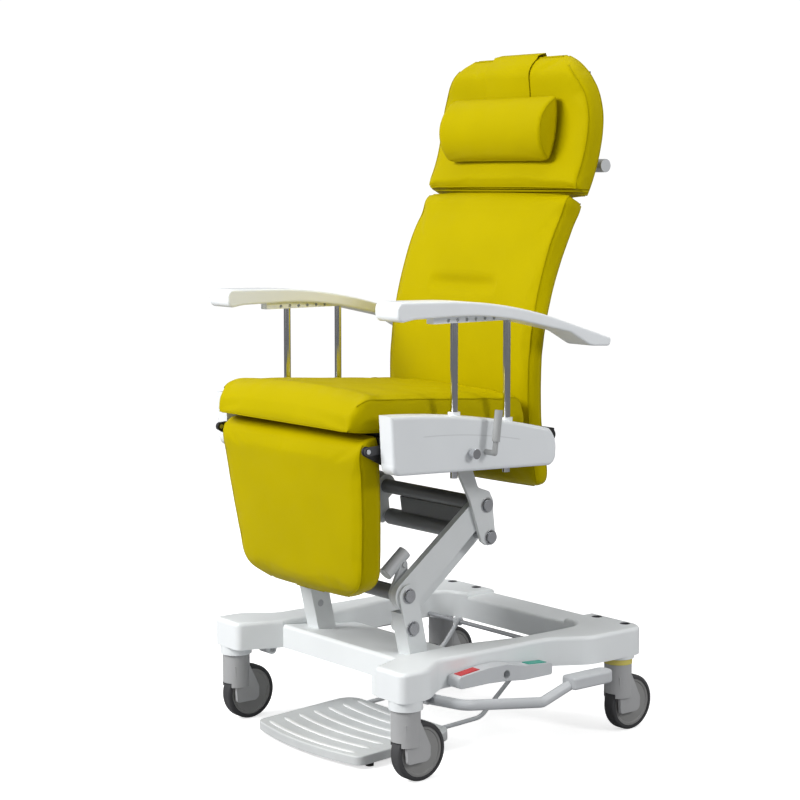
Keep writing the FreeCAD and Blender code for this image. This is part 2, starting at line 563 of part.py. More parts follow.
def base_frame():
    """The welded frame as one solid, parted into two side rails, a platform and a rear beam."""
    crest = s.base_bottom + s.rail_height
    rails = [side_rail(tag, side) for tag, side in SIDES]
    platform = plate("platform", "YZ_Plane", polygon(
        (-s.platform_front, s.base_bottom), (-s.platform_front, s.platform_front_top, s.beam_edge),
        (-s.platform_rear, s.platform_rear_top, s.beam_edge), (-s.platform_rear, s.base_bottom)),
        "2 * inner_front + 2 * platform_lap", -s.inner_front - s.platform_lap)
    beam = plate("beam", "YZ_Plane", polygon(
        (s.rear_beam_front, s.base_bottom), (s.rear_beam_front, s.rear_beam_top, s.beam_edge),
        (s.base_rear, s.rear_beam_top, s.beam_edge), (s.base_rear, s.base_bottom)),
        "2 * corner_pad_inner + 2 * weld", -s.corner_pad_inner - s.weld)
    pump_box = box("pump_box", "pump_box_wide", "pump_box_deep", "pump_box_drop + weld",
                   (s.pump_box_inner, -s.platform_front, s.base_bottom - s.pump_box_drop))
    pads, hangers = [], []
    for corner, x, y in CORNERS:
        gap = s.ring_height if corner == "rear_left" else 0
        pads.append(cylinder(f"castor_pad_{corner}", "castor_pad_radius",
                             f"base_bottom - castor_height - {gap} + weld", (x, y, s.castor_height + gap)))
    for tag, side in SIDES:
        pivot, root, round_end = (-s.pump_y, s.pump_z), (-s.pump_y, s.base_bottom + s.weld), s.pump_boss_radius
        hangers.append(side_plate("pump_hanger_" + tag, strap_outline(pivot, round_end, root, round_end),
                                  "pump_hanger", PUMP_INNER, side, [(*pivot, s.pump_pin_radius)]))
    solid = fuse("base_solid", *rails, platform, beam, pump_box, *pads, *hangers)
    whole = cut("base_whole", solid, *base_bores(crest))
    lap = s.platform_lap
    front, rear, inner = -s.base_front - lap, s.base_rear + lap, s.inner_front
    for tag, side in SIDES:
        left = inner if side > 0 else -inner - s.base_half_width
        zone = box("rail_zone_" + tag, "base_half_width", "base_front + base_rear + 2 * platform_lap",
                   "base_bottom + 2 * rail_height", (left, front, 0))
        node(common("side_rail_" + tag, whole, zone), "side_rail_" + tag)
    for label, start, stop in (("base_platform", front, 0), ("rear_beam", 0, rear)):
        zone = box(label + "_zone", "2 * inner_front", str(stop - start), "base_bottom + 2 * rail_height",
                   (-inner, start, 0))
        node(common(label, whole, zone), label)


base_frame()
SLEEVES = [cut(f"sleeve_{tag}_{i}",
               cylinder(f"sleeve_{tag}_{i}_wall", "socket_bore / 2 + sleeve_wall", "sleeve_depth", at),
               cylinder(f"sleeve_{tag}_{i}_bore", "socket_bore / 2", "sleeve_depth", at))
           for tag, side in SIDES for i in range(2)
           for at in [(side * (s.socket_x - i * s.socket_pitch), s.socket_y,
                       s.base_bottom + s.rail_height - s.sleeve_depth)]]
node(group("socket_sleeves", *SLEEVES), "socket_sleeves")
RING_AT = next((x, y, s.castor_height) for corner, x, y in CORNERS if corner == "rear_left")
node(cut("direction_ring",
         cylinder("ring_wall", "ring_radius", "ring_height", RING_AT),
         cylinder("ring_bore", "stem_radius + running_fit", "ring_height", RING_AT)), "direction_ring")
node(cylinder("step_shaft", "step_shaft_radius", "2 * inner_rear + 2 * step_shaft_sink",
              (-s.inner_rear - s.step_shaft_sink, s.step_shaft_y, s.step_shaft_z), ABOUT_X), "step_shaft")


# Brake pedals on one shaft

def brake_pedals():
    inner = s.waist_half_width + s.pedal_gap
    y, z = -s.pedal_y, s.pedal_z
    front, rear, pad, dip = -s.pedal_front + y, s.pedal_rear + y, s.pedal_pad, s.pedal_dip
    low, high, brow = z - s.pedal_height / 2, z + s.pedal_height / 2, z + s.pedal_height / 2 + s.pedal_rise
    sole = low + s.pedal_rise - dip
    outline = polygon(
        (front, sole, s.pedal_tip), (front + pad, sole, s.pedal_bend),
        (y, low - s.pedal_camber, s.pedal_waist), (rear - pad, low - dip, s.pedal_bend),
        (rear, low - dip, s.pedal_tip), (rear, high - dip, s.pedal_tip),
        (rear - pad, high - s.pedal_camber, s.pedal_brow), (y, brow, s.pedal_waist),
        (front + pad, brow, s.pedal_brow), (front, brow - dip, s.pedal_tip))
    red_rise, green_rise = dip / pad, (s.pedal_camber - dip) / pad
    red_start, green_start = front + s.mark_inset, rear - s.mark_inset - s.mark_length
    red_z = brow - dip + red_rise * s.mark_inset
    green_z = high - dip - green_rise * (s.mark_inset + s.mark_length)
    reds, greens = [], []
    mark_inner = inner + (s.pedal_width - s.mark_width) / 2
    for tag, side in SIDES:
        pedal = side_plate("pedal_" + tag, outline, "pedal_width", inner, side)
        hole = cylinder("pedal_hole_" + tag, "pedal_shaft_radius", "2 * pedal_width",
                        (side * inner - s.pedal_width if side > 0 else -inner - s.pedal_width, y, z), ABOUT_X)
        node(cut("brake_pedal_" + tag, pedal, hole), "brake_pedal_" + tag)
        for marks, name, start, level, slope in ((reds, "brake_mark_", red_start, red_z, red_rise),
                                                 (greens, "release_mark_", green_start, green_z, green_rise)):
            stop, end = start + s.mark_length, level + slope * s.mark_length
            shape = polygon((start, level - s.mark_sink), (stop, end - s.mark_sink),
                            (stop, end + s.mark_height, s.mark_edge),
                            (start, level + s.mark_height, s.mark_edge))
            mark = side_plate(name + tag, shape, "mark_width", mark_inner, side)
            marks.append(cut(name + tag + "_seat", mark, pedal))
    node(group("brake_marks", *reds), "brake_marks")
    node(group("release_marks", *greens), "release_marks")
    reach = inner + s.pedal_width / 2
    shaft = cylinder("pedal_shaft", "pedal_shaft_radius",
                     "2 * waist_half_width + 2 * pedal_gap + pedal_width", (-reach, y, z), ABOUT_X)
    node(shaft, "pedal_shaft")


brake_pedals()


# Pump bars beside the rails

def pump_bar(tag, side):
    """A bar from a boss under the rail, out beside the rail and up to a flat paddle."""
    x, pivot, y, z = side * s.pump_x, side * s.pump_pivot_x, -s.pump_y, s.pump_z
    middle = s.paddle_bottom + s.paddle_height / 2
    half = s.paddle_width / 2
    bar = bent_bar(f"pump_bar_{tag}_tube", "pump_tube_radius", s.pump_bend,
                   (pivot, y, z), (x, y + s.pump_jog, z - s.pump_jog_drop), (x, s.pump_knee_y, s.pump_knee_z),
                   (x, s.paddle_front + half, middle))
    boss = cylinder(f"pump_bar_{tag}_boss", "pump_boss_radius", "pump_boss_width",
                    (pivot - s.pump_boss_width / 2, y, z), ABOUT_X)
    paddle = plate(f"pump_bar_{tag}_paddle", "XY_Plane", polygon(
        (x - half, s.paddle_front, s.paddle_nose), (x + half, s.paddle_front, s.paddle_nose),
        (x + half, s.paddle_rear, s.paddle_heel), (x - half, s.paddle_rear, s.paddle_heel)),
        "paddle_height", s.paddle_bottom)
    round_edges(paddle, "paddle_edge", lambda e: abs(e.Vertexes[0].Z - e.Vertexes[-1].Z) < 0.01)
    hole = cylinder(f"pump_bar_{tag}_hole", "pump_pin_radius + running_fit", "2 * pump_boss_width",
                    (pivot - s.pump_boss_width, y, z), ABOUT_X)
    node(cut("pump_bar_" + tag, fuse(f"pump_bar_{tag}_body", bar, boss, paddle), hole), "pump_bar_" + tag)


for side_tag, side_sign in SIDES:
    pump_bar(side_tag, side_sign)


# Step

def step():
    w, front, rear = s.step_half_width, -s.step_front, -s.step_rear
    tilt = Placement(Vector(0, front, s.step_top), Rotation(Vector(1, 0, 0), s.step_slope))
    deep = rear - front
    sweep = (w ** 2 + s.step_bow ** 2) / (2 * s.step_bow)
    hub = Vector(0, sweep - s.step_bow, 0)
    inset = w - s.step_corner
    corner = Vector(inset, hub.y - math.sqrt((sweep - s.step_corner) ** 2 - inset ** 2), 0)
    touch = hub + (corner - hub).normalize() * sweep
    bend = corner + ((touch - corner).normalize() + Vector(1, 0, 0)).normalize() * s.step_corner
    tail = 2 * s.step_corner
    tail_bend = tail * (1 - math.sqrt(0.5))
    outline = chain((-touch.x, touch.y), ("via", 0, -s.step_bow), (touch.x, touch.y), ("via", bend.x, bend.y),
                    (w, corner.y), (w, deep - tail), ("via", w - tail_bend, deep - tail_bend),
                    (w - tail, deep), (-w + tail, deep), ("via", -w + tail_bend, deep - tail_bend),
                    (-w, deep - tail), (-w, corner.y), ("via", -bend.x, bend.y))
    top = plate("step_board", "XY_Plane", outline, "step_thickness", -s.step_thickness)
    round_edges(top, "step_edge", lambda e: min(v.Z for v in e.Vertexes) > -0.01)
    top.Placement = tilt
    node(top, "step_plate")
    feet, rods = [], []
    for tag, side in SIDES:
        x = side * s.step_rod_x
        foot = cylinder("step_foot_" + tag, "step_foot_radius", "step_top",
                        (side * s.step_foot_x, -s.step_foot_y, 0))
        above = box("step_foot_trim_" + tag, "4 * step_foot_radius", "4 * step_foot_radius", "step_top * 2",
                    (side * s.step_foot_x - 2 * s.step_foot_radius, -s.step_foot_y - 2 * s.step_foot_radius,
                     s.step_top - s.step_thickness / 2))
        feet.append(cut(f"step_foot_{tag}_cut", foot, top, above))
        entry = s.step_top - s.step_thickness / 2 + math.tan(math.radians(s.step_slope)) * deep
        bar = bent_bar("step_bar_" + tag, "step_rod_radius", s.step_bend, (x, rear - s.step_rod_sink, entry),
                       (x, s.step_knee_y, entry + s.step_knee_rise),
                       (x, s.step_shaft_y - s.step_neck_y, s.step_shaft_z - s.step_neck_z),
                       (x, s.step_shaft_y, s.step_shaft_z))
        eye = cylinder("step_eye_" + tag, "step_eye_radius", "step_eye_width",
                       (x - s.step_eye_width / 2, s.step_shaft_y, s.step_shaft_z), ABOUT_X)
        hole = cylinder("step_eye_hole_" + tag, "step_shaft_radius + running_fit", "2 * step_eye_width",
                        (x - s.step_eye_width, s.step_shaft_y, s.step_shaft_z), ABOUT_X)
        rods.append(cut("step_rod_" + tag, fuse("step_rod_body_" + tag, bar, eye), hole, top))
    node(group("step_rods", *rods), "step_rods")
    node(group("step_feet", *feet), "step_feet")


step()


# Lift: P1 and P2 on the base, Q1 and Q2 on the seat

ANGLE, LEAN = math.radians(s.lever_angle), math.radians(s.pivot_lean)
P1 = (-s.lift_y, s.lift_z)
DROP = (s.pivot_spacing * math.sin(LEAN), -s.pivot_spacing * math.cos(LEAN))
P2 = (P1[0] + DROP[0], P1[1] + DROP[1])
Q1 = (P1[0] + s.lever_length * math.cos(ANGLE), P1[1] + s.lever_length * math.sin(ANGLE))
Q2 = (Q1[0] + DROP[0], Q1[1] + DROP[1])
CHEEK_INNER = s.lever_inner + s.lever_thickness + s.lift_gap
BRACKET_INNER = CHEEK_INNER + s.cheek - s.bracket_width
FIT_HOLE = s.pivot_radius + s.running_fit


def platform_top(y):
    """Height of the platform's sloping top at y."""
    share = (y + s.platform_front) / (s.platform_front - s.platform_rear)
    return s.platform_front_top + share * (s.platform_rear_top - s.platform_front_top)


def lift_bracket(tag, side):
    """A leaning channel: a tall outer cheek, a low inner cheek and a front web."""
    foot_front = P1[0] + s.bracket_lean - s.bracket_depth / 2
    foot_rear = foot_front + s.bracket_depth
    foot_z = platform_top(foot_rear) - s.bracket_sink
    r = s.bracket_top_radius
    web_top = P1[1] - s.lever_foot_radius - s.bracket_gap
    share = (web_top - foot_z) / (P1[1] - foot_z)
    web_front = foot_front + share * (P1[0] - r - foot_front)
    tall = chain((foot_front, foot_z), (P1[0] - r, P1[1]), ("via", P1[0], P1[1] + r), (P1[0] + r, P1[1]),
                 (foot_rear, foot_z))
    rear_low = foot_rear + share * (P1[0] + r - foot_rear)
    low = polygon((foot_front, foot_z), (web_front, web_top), (rear_low, web_top), (foot_rear, foot_z))
    web = polygon((foot_front, foot_z), (web_front, web_top), (web_front + s.cheek, web_top),
                  (foot_front + s.cheek, foot_z))
    name = "lift_bracket_" + tag
    holes = [(*P2, s.pivot_radius)]
    outer = side_plate(name + "_outer", tall, "cheek", CHEEK_INNER, side, [(*P1, s.pivot_radius)] + holes)
    inner = side_plate(name + "_inner", low, "cheek", BRACKET_INNER, side, holes)
    front = side_plate(name + "_web", web, "bracket_width", BRACKET_INNER, side)
    ground = plate(name + "_ground", "YZ_Plane", polygon(
        (-s.platform_front, 0), (-s.platform_front, s.platform_front_top),
        (-s.platform_rear, s.platform_rear_top), (-s.platform_rear, 0)),
        "2 * base_half_width", -s.base_half_width)
    node(cut(name, fuse(name + "_body", outer, inner, front), ground), name)


def capped_pin(name, start, stop, spot, side, radius="pivot_radius"):
    """A pin along X with a cap on its outer end."""
    low = min(side * start, side * stop)
    shank = cylinder(name + "_shank", radius, str(abs(stop - start)), (low, *spot), ABOUT_X)
    cap_x = side * stop if side > 0 else side * stop - s.cap_height
    return fuse(name, shank, cylinder(name + "_cap", "cap_radius", "cap_height", (cap_x, *spot), ABOUT_X))


for side_tag, side_sign in SIDES:
    lift_bracket(side_tag, side_sign)
CHEEK_OUTER = CHEEK_INNER + s.cheek
PINS = []
for side_tag, side_sign in SIDES:
    PINS.append(capped_pin("foot_pin_" + side_tag, s.lever_inner + s.bore_reach, CHEEK_OUTER, P1, side_sign))
    start = s.link_inner if side_sign > 0 else BRACKET_INNER
    PINS.append(capped_pin("link_pin_" + side_tag, start, CHEEK_OUTER, P2, side_sign))
    pump_length = 2 * PUMP_REACH + s.pump_hanger + 2 * s.weld
    pump_start = PUMP_INNER - s.weld if side_sign > 0 else s.weld - PUMP_INNER - pump_length
    PINS.append(cylinder("pump_pin_" + side_tag, "pump_pin_radius", str(pump_length),
                         (pump_start, -s.pump_y, s.pump_z), ABOUT_X))
node(group("lower_pivot_pins", *PINS), "lower_pivot_pins")

for side_tag, side_sign in SIDES:
    lever_name = "lift_lever_" + side_tag
    lever = side_plate(lever_name, strap_outline(P1, s.lever_foot_radius, Q1, s.lever_head_radius),
                       "lever_thickness", s.lever_inner, side_sign, [(*P1, FIT_HOLE), (*Q1, FIT_HOLE)])
    node(lever, lever_name)
LEVER_TUBES = [tube(tube_name, tube_radius, "tube_wall", "2 * lever_inner", (-s.lever_inner, *spot), ABOUT_X)
               for tube_name, tube_radius, spot in (("torsion_tube", "torsion_radius", P1),
                                                    ("tie_tube", "tie_radius", Q1))]
node(group("lever_tubes", *LEVER_TUBES), "lever_tubes")


def lift_crank():
    """A gusset and a round stub standing on the torsion tube beside the left lever."""
    tip = (P1[0] + s.crank_lean, P1[1] + s.crank_height)
    gusset = side_plate("crank_gusset", strap_outline(P1, s.torsion_radius + s.crank_collar, tip, s.crank_tip),
                        "crank_plate", s.crank_x + s.crank_step, 1)
    direction = Vector(0, -math.cos(ANGLE), -math.sin(ANGLE))
    start = Vector(s.crank_x, tip[0] + s.crank_stub_y, tip[1] + s.crank_stub_z)
    stub = cylinder("crank_stub", "crank_stub_radius", "crank_stub_length", start,
                    Rotation(Vector(0, 0, 1), direction))
    bolt = cylinder("crank_bolt", "crank_bolt_radius", "crank_bolt_length", (s.crank_x, *tip), ABOUT_X)
    clear = cylinder("crank_clear", "torsion_radius", "4 * crank_x", (-s.crank_x, *P1), ABOUT_X)
    node(cut("lift_crank", fuse("crank_body", gusset, stub, bolt), clear), "lift_crank")


lift_crank()
node(side_plate("control_link", strap_outline(P2, s.link_radius, Q2, s.link_radius), "link_thickness",
                s.link_inner, 1, [(*P2, FIT_HOLE), (*Q2, s.pivot_radius + s.link_clearance)]), "control_link")


# Seat carriage

SLOPE = math.radians(s.seat_slope)
SEAT_TURN = Rotation(Vector(1, 0, 0), -s.seat_slope)
BACK_HINGE = (s.back_hinge_y, s.back_hinge_z)
LEG_HINGE = (-s.leg_hinge_y, s.leg_hinge_z)
PLATE_INNER = CHEEK_INNER
RAIL_INNER = PLATE_INNER + s.upper_plate


def seat_point(x, along, up):
    """A point of the sloping seat: along its length from the front edge, up from the cushion's underside."""
    return Vector(x, -s.seat_front + along * math.cos(SLOPE) + up * math.sin(SLOPE),
                  s.seat_bottom - along * math.sin(SLOPE) + up * math.cos(SLOPE))


def seat_box(name, wide, deep, high, x, along, up):
    return box(name, wide, deep, high, seat_point(x, along, up), SEAT_TURN)


def upper_bracket(tag, side):
    top = seat_point(0, s.seat_front - s.ear_front, -s.board_thickness)
    outline = polygon(
        (top.y - s.ear_half, top.z - s.ear_gap), (top.y + s.ear_half, top.z - s.ear_gap),
        (Q1[0] - s.ear_half, Q1[1] + s.ear_shoulder, s.ear_round),
        (Q1[0] + s.ear_side / 2, Q1[1] + s.ear_crown, s.ear_round),
        (Q1[0] + s.ear_side, Q1[1] + s.ear_side, s.ear_round),
        (Q2[0] + s.ear_side, Q2[1] - s.ear_gap, s.ear_round),
        (Q2[0] - s.ear_side / 2, Q2[1] - s.ear_foot, s.ear_round),
        (Q2[0] - s.ear_half, Q2[1] - s.ear_side / 2, s.ear_round),
        (Q1[0] - s.ear_back, Q1[1] + s.ear_side, s.ear_round))
    name = "upper_bracket_" + tag
    node(side_plate(name, outline, "upper_plate", PLATE_INNER, side,
                    [(*Q1, s.pivot_radius), (*Q2, s.pivot_radius)]), name)


for side_tag, side_sign in SIDES:
    upper_bracket(side_tag, side_sign)
HEAD_PINS = []
BEAM_ENDS = {"left": s.beam_half, "right": s.lever_inner - s.weld}
LEG_LUG_INNER = s.leg_half_width + s.leg_lug_gap
LEG_PLATE_INNER = LEG_LUG_INNER + s.leg_plate + s.leg_plate_gap
for side_tag, side_sign in SIDES:
    HEAD_PINS.append(capped_pin("head_pin_" + side_tag, s.lever_inner + s.bore_reach, RAIL_INNER, Q1,
                                side_sign))
    HEAD_PINS.append(capped_pin("seat_pin_" + side_tag, BEAM_ENDS[side_tag], RAIL_INNER, Q2, side_sign))
    for pin_name, pin_radius, pin_inner, pin_outer, spot in (
            ("back_pin_", "pivot_radius", s.back_half_width + s.back_lug_gap - s.bore_reach,
             s.back_half_width + s.back_lug_gap + 2 * s.hinge_plate + 2 * s.hinge_gap, BACK_HINGE),
            ("leg_pin_", "leg_hinge_radius", LEG_LUG_INNER, LEG_PLATE_INNER + s.leg_plate + s.bore_reach,
             LEG_HINGE)):
        pin_start = pin_inner if side_sign > 0 else -pin_outer
        HEAD_PINS.append(cylinder(pin_name + side_tag, pin_radius, str(pin_outer - pin_inner),
                                  (pin_start, *spot), ABOUT_X))
node(group("upper_pivot_pins", *HEAD_PINS), "upper_pivot_pins")


def cross_beam():
    """A round bar on the lower seat pivots, with a web that reaches up to the lever tube."""
    far = BEAM_ENDS["right"]
    bar = cylinder("beam_bar", "beam_radius", "beam_half + lever_inner - weld", (-far, *Q2), ABOUT_X)
    foot, height = s.beam_radius - s.weld, s.pivot_spacing - s.tie_radius - s.web_gap
    half = s.web_thickness / 2
    corner = (-s.web_half, Q2[0] - math.sin(LEAN) * foot - math.cos(LEAN) * half,
              Q2[1] + math.cos(LEAN) * foot - math.sin(LEAN) * half)
    web = box("beam_web", "2 * web_half", "web_thickness", str(height - foot), corner,
              Rotation(Vector(1, 0, 0), s.pivot_lean))
    node(fuse("cross_beam", bar, web), "cross_beam")


cross_beam()


def seat_frame():
    """Two rails, three cross bars, and the hinge plates of the back and the leg rest."""
    under = -s.board_thickness
    length = s.frame_rear - s.frame_front
    solids = []
    for tag, side in SIDES:
        x = RAIL_INNER if side > 0 else -RAIL_INNER - s.rail_wide
        solids.append(seat_box("frame_rail_" + tag, "rail_wide", str(length), "rail_deep",
                               x, s.frame_front, under - s.rail_deep))
        lead, tail, pad = s.hinge_lead, s.hinge_tail, s.hinge_pad
        lead_z = seat_point(0, s.seat_front + lead, under).z
        tail_z = seat_point(0, s.seat_front + tail, under).z
        back_plate = side_plate("back_hinge_plate_" + tag, polygon(
            (lead, lead_z - s.hinge_gap), (tail, tail_z - s.hinge_gap),
            (BACK_HINGE[0] + pad, BACK_HINGE[1] + pad, s.hinge_round),
            (BACK_HINGE[0] + pad, BACK_HINGE[1] - pad, s.hinge_round),
            (BACK_HINGE[0] - pad, BACK_HINGE[1] - pad, s.hinge_round), (lead, lead_z - s.hinge_drop)),
            "hinge_plate", s.back_half_width + s.back_lug_gap + s.hinge_plate + s.hinge_gap, side,
            [(*BACK_HINGE, s.pivot_radius)])
        bar_middle = seat_point(0, s.frame_front + s.cross_wide / 2, under - s.rail_deep / 2)
        leg_plate = side_plate("leg_hinge_plate_" + tag, strap_outline(
            LEG_HINGE, s.hinge_ear, (bar_middle.y, bar_middle.z), s.hinge_ear), "leg_plate",
            LEG_PLATE_INNER, side, [(*LEG_HINGE, s.leg_hinge_radius)])
        solids += [back_plate, leg_plate]
    for name, along, half in (("front", s.frame_front, LEG_PLATE_INNER + s.leg_plate),
                              ("middle", s.frame_middle, s.panel_inner),
                              ("rear", s.frame_rear - s.cross_wide, s.panel_inner)):
        solids.append(seat_box("cross_bar_" + name, str(2 * half), "cross_wide", "rail_deep - cross_shy",
                               -half, along, under - s.rail_deep))
    node(fuse("seat_frame", *solids), "seat_frame")


seat_frame()
BOARD_HALF = s.seat_half_width - s.board_inset
node(seat_box("seat_board", str(2 * BOARD_HALF), "seat_length - seat_lip - board_inset / 2", "board_thickness",
              -BOARD_HALF, s.seat_lip, -s.board_thickness), "seat_board")


def seat_cushion():
    """Sections along the seat; the front edge is rounded over, the rear end eased."""
    stations = []
    for along in stops(s.seat_length, s.seat_nose, s.seat_heel, SEAT_SPANS):
        spot = seat_point(0, along, 0)
        left = s.seat_length - along
        share = min(end_share(along, s.seat_nose, s.seat_blunt), ease(left, s.seat_heel))
        tuck = s.seat_tuck * (1 - ease(along, s.seat_corner)) + s.end_tuck * (1 - ease(left, s.seat_heel))
        half = s.seat_half_width - tuck
        stations.append((spot.y, spot.z, 90 + s.seat_slope, half,
                         s.seat_thickness * share, s.seat_crown * share))
    node(padded("seat_cushion", stations), "seat_cushion")


seat_cushion()


# Side panels, arms, knobs and the recline lever

PANEL_OUTER = s.panel_inner + s.panel_thickness
PANEL_TOP = [(-s.panel_front, s.panel_front_top), (-s.panel_crest_y, s.panel_crest_z),
             (s.panel_tail_y, s.panel_tail_z)]
PANEL_END, PANEL_HEEL = (s.panel_end_y, s.panel_end_z), (s.panel_heel_y, s.panel_heel_z)
PANEL_TOE, PANEL_CHIN = (-s.panel_toe_y, s.panel_toe_z), (-s.panel_chin_y, s.panel_chin_z)
POSTS = (("front", -s.post_front), ("rear", -s.post_rear))


def arc_height(points, y):
    """Height at y of the circle through three points."""
    circle = Part.Arc(*[Vector(u, v, 0) for u, v in points]).toShape().Curve
    centre, radius = circle.Center, circle.Radius
    return centre.y + math.copysign(math.sqrt(radius ** 2 - (y - centre.x) ** 2), points[1][1] - centre.y)


def side_panel(tag, side):
    start, middle, stop = PANEL_TOP
    outline = chain(start, ("via", *middle), stop, bulge(stop, PANEL_END, s.panel_tail_bulge), PANEL_END,
                    bulge(PANEL_END, PANEL_HEEL, s.panel_heel_bulge), PANEL_HEEL, PANEL_TOE,
                    bulge(PANEL_TOE, PANEL_CHIN, s.panel_toe_bulge), PANEL_CHIN)
    name = "side_panel_" + tag
    panel = side_plate(name + "_shell", outline, "panel_thickness", s.panel_inner, 1)
    round_edges(panel, "panel_edge", lambda e: abs(e.CenterOfMass.x - PANEL_OUTER) < 0.01)
    if side < 0:
        panel = mirrored(name + "_mirror", panel)
    tools = []
    for spot, y in POSTS:
        top = arc_height(PANEL_TOP, y)
        tools.append(cylinder(f"{name}_bore_{spot}", "post_radius + running_fit", "arm_top - post_bottom",
                              (side * s.post_x, y, s.post_bottom)))
        tools.append(cylinder(f"{name}_seat_{spot}", "collar_radius", "arm_top - post_bottom",
                              (side * s.post_x, y, top - s.collar_sink)))
    shank_x = PANEL_OUTER - s.knob_shank if side > 0 else -PANEL_OUTER - s.bore_reach
    tools.append(cylinder(name + "_knob_bore", "knob_shank_radius + running_fit", "knob_shank + bore_reach",
                          (shank_x, -s.knob_y, s.knob_z), ABOUT_X))
    if side > 0:
        tools.append(cylinder(name + "_lever_bore", "handle_shaft_radius + running_fit",
                              "handle_shank + bore_reach",
                              (PANEL_OUTER - s.handle_shank, -s.handle_y, s.handle_z), ABOUT_X))
    node(cut(name, panel, *tools), name)


COLLARS = []
for side_tag, side_sign in SIDES:
    side_panel(side_tag, side_sign)
    for spot_name, post_y in POSTS:
        foot = (side_sign * s.post_x, post_y, arc_height(PANEL_TOP, post_y) - s.collar_sink)
        tag_name, tall = f"collar_{side_tag}_{spot_name}", "collar_sink + collar_rise"
        COLLARS.append(cut(tag_name, cylinder(tag_name + "_wall", "collar_radius", tall, foot),
                           cylinder(tag_name + "_bore", "post_radius + running_fit", tall, foot)))
node(group("post_collars", *COLLARS), "post_collars")


def armrest(tag, side):
    """A bowed arm with a thick tip, a dropped rear end and a holed rack under its middle."""
    outline = polygon(
        (-s.arm_front, s.arm_top, s.arm_tip), (-s.arm_crest_y, s.arm_crest_z, s.arm_bow),
        (s.arm_rear, s.arm_rear_top, s.arm_tail), (s.arm_rear - s.arm_tail, s.arm_rear_low, s.arm_tail),
        (s.arm_sole_y, s.arm_sole_z, s.arm_sole), (s.arm_heel_y, s.arm_heel_z, s.arm_heel),
        (-s.arm_belly_y, s.arm_belly_z, s.arm_belly), (-s.arm_lip_y, s.arm_lip_z, s.arm_lip),
        (-s.arm_front, s.arm_chin_z, s.arm_tip))
    name = "armrest_" + tag
    arm = side_plate(name + "_bow", outline, "arm_width", s.arm_inner, 1)
    middle = s.arm_inner + s.arm_width / 2
    round_edges(arm, "arm_edge", lambda e: abs(abs(e.CenterOfMass.x - middle) - s.arm_width / 2) < 0.01)
    if side < 0:
        arm = mirrored(name + "_mirror", arm)
    rack_x = side * s.post_x - s.rack_width / 2
    rack = box(name + "_rack", "rack_width", "rack_front - rack_rear", "rack_pitch",
               (rack_x, -s.rack_front, s.rack_bottom))
    roof = [(s.arm_rear - s.arm_core, s.arm_rear_top), (-s.arm_crest_y, s.arm_crest_z - s.arm_core),
            (-s.arm_front + s.arm_core, s.arm_top - s.arm_core)]
    cap = side_plate(name + "_cap", chain(
        roof[2], (roof[2][0], s.rack_bottom - s.rack_seat), (roof[0][0], s.rack_bottom - s.rack_seat), roof[0],
        ("via", *roof[1])), "arm_width", s.arm_inner, side)
    body = fuse(name + "_body", arm, common(name + "_rack_fit", rack, cap))
    tools = [cylinder(f"{name}_post_{spot}", "post_radius", "2 * rack_seat",
                      (side * s.post_x, y, s.rack_bottom - s.rack_seat)) for spot, y in POSTS]
    for i in range(RACK_HOLES):
        tools.append(cylinder(f"{name}_hole_{i}", "rack_hole_radius", "2 * rack_width",
                              (side * s.post_x - s.rack_width, -s.rack_front + s.rack_lead + i * s.rack_pitch,
                               s.rack_bottom + s.rack_hole_rise), ABOUT_X))
    node(cut(name, body, *tools), name)
    posts = [cylinder(f"arm_post_{tag}_{spot}", "post_radius", "rack_bottom + rack_seat - post_bottom",
                      (side * s.post_x, y, s.post_bottom)) for spot, y in POSTS]
    node(group("arm_posts_" + tag, *posts), "arm_posts_" + tag)


def latch_knob(tag, side):
    name = "latch_knob_" + tag
    low = PANEL_OUTER - s.knob_shank
    shank_length = s.knob_shank + s.knob_gap
    shank = cylinder(name + "_shank", "knob_shank_radius", "knob_shank + knob_gap",
                     (low if side > 0 else -low - shank_length, -s.knob_y, s.knob_z), ABOUT_X)
    head_x = PANEL_OUTER + s.knob_gap
    head = cylinder(name + "_head", "knob_radius", "knob_length",
                    (head_x if side > 0 else -head_x - s.knob_length, -s.knob_y, s.knob_z), ABOUT_X)
    node(fuse(name, shank, head), name)


for side_tag, side_sign in SIDES:
    armrest(side_tag, side_sign)
    latch_knob(side_tag, side_sign)
LEVER_SHANK = cylinder("recline_shank", "handle_shaft_radius",
                       "handle_shank + handle_reach - handle_shaft_radius",
                       (PANEL_OUTER - s.handle_shank, -s.handle_y, s.handle_z), ABOUT_X)
LEVER_TURN = Rotation(Vector(1, 0, 0), -s.handle_lean)
LEVER_FOOT = Vector(PANEL_OUTER + s.handle_reach - s.handle_shaft_radius, -s.handle_y, s.handle_z)
LEVER_STEM = cylinder("recline_stem", "handle_shaft_radius", "handle_rise + weld", LEVER_FOOT, LEVER_TURN)
LEVER_KNEE = bind(doc.addObject("Part::Sphere", "recline_knee"), Radius="handle_shaft_radius")
LEVER_KNEE.Placement = Placement(LEVER_FOOT, UPRIGHT)
LEVER_GRIP = cylinder("recline_grip", "grip_radius", "grip_length",
                      LEVER_FOOT + LEVER_TURN.multVec(Vector(0, 0, s.handle_rise)), LEVER_TURN)
node(fuse("recline_lever", LEVER_SHANK, LEVER_KNEE, LEVER_STEM, LEVER_GRIP), "recline_lever")


# Back, head and leg sections

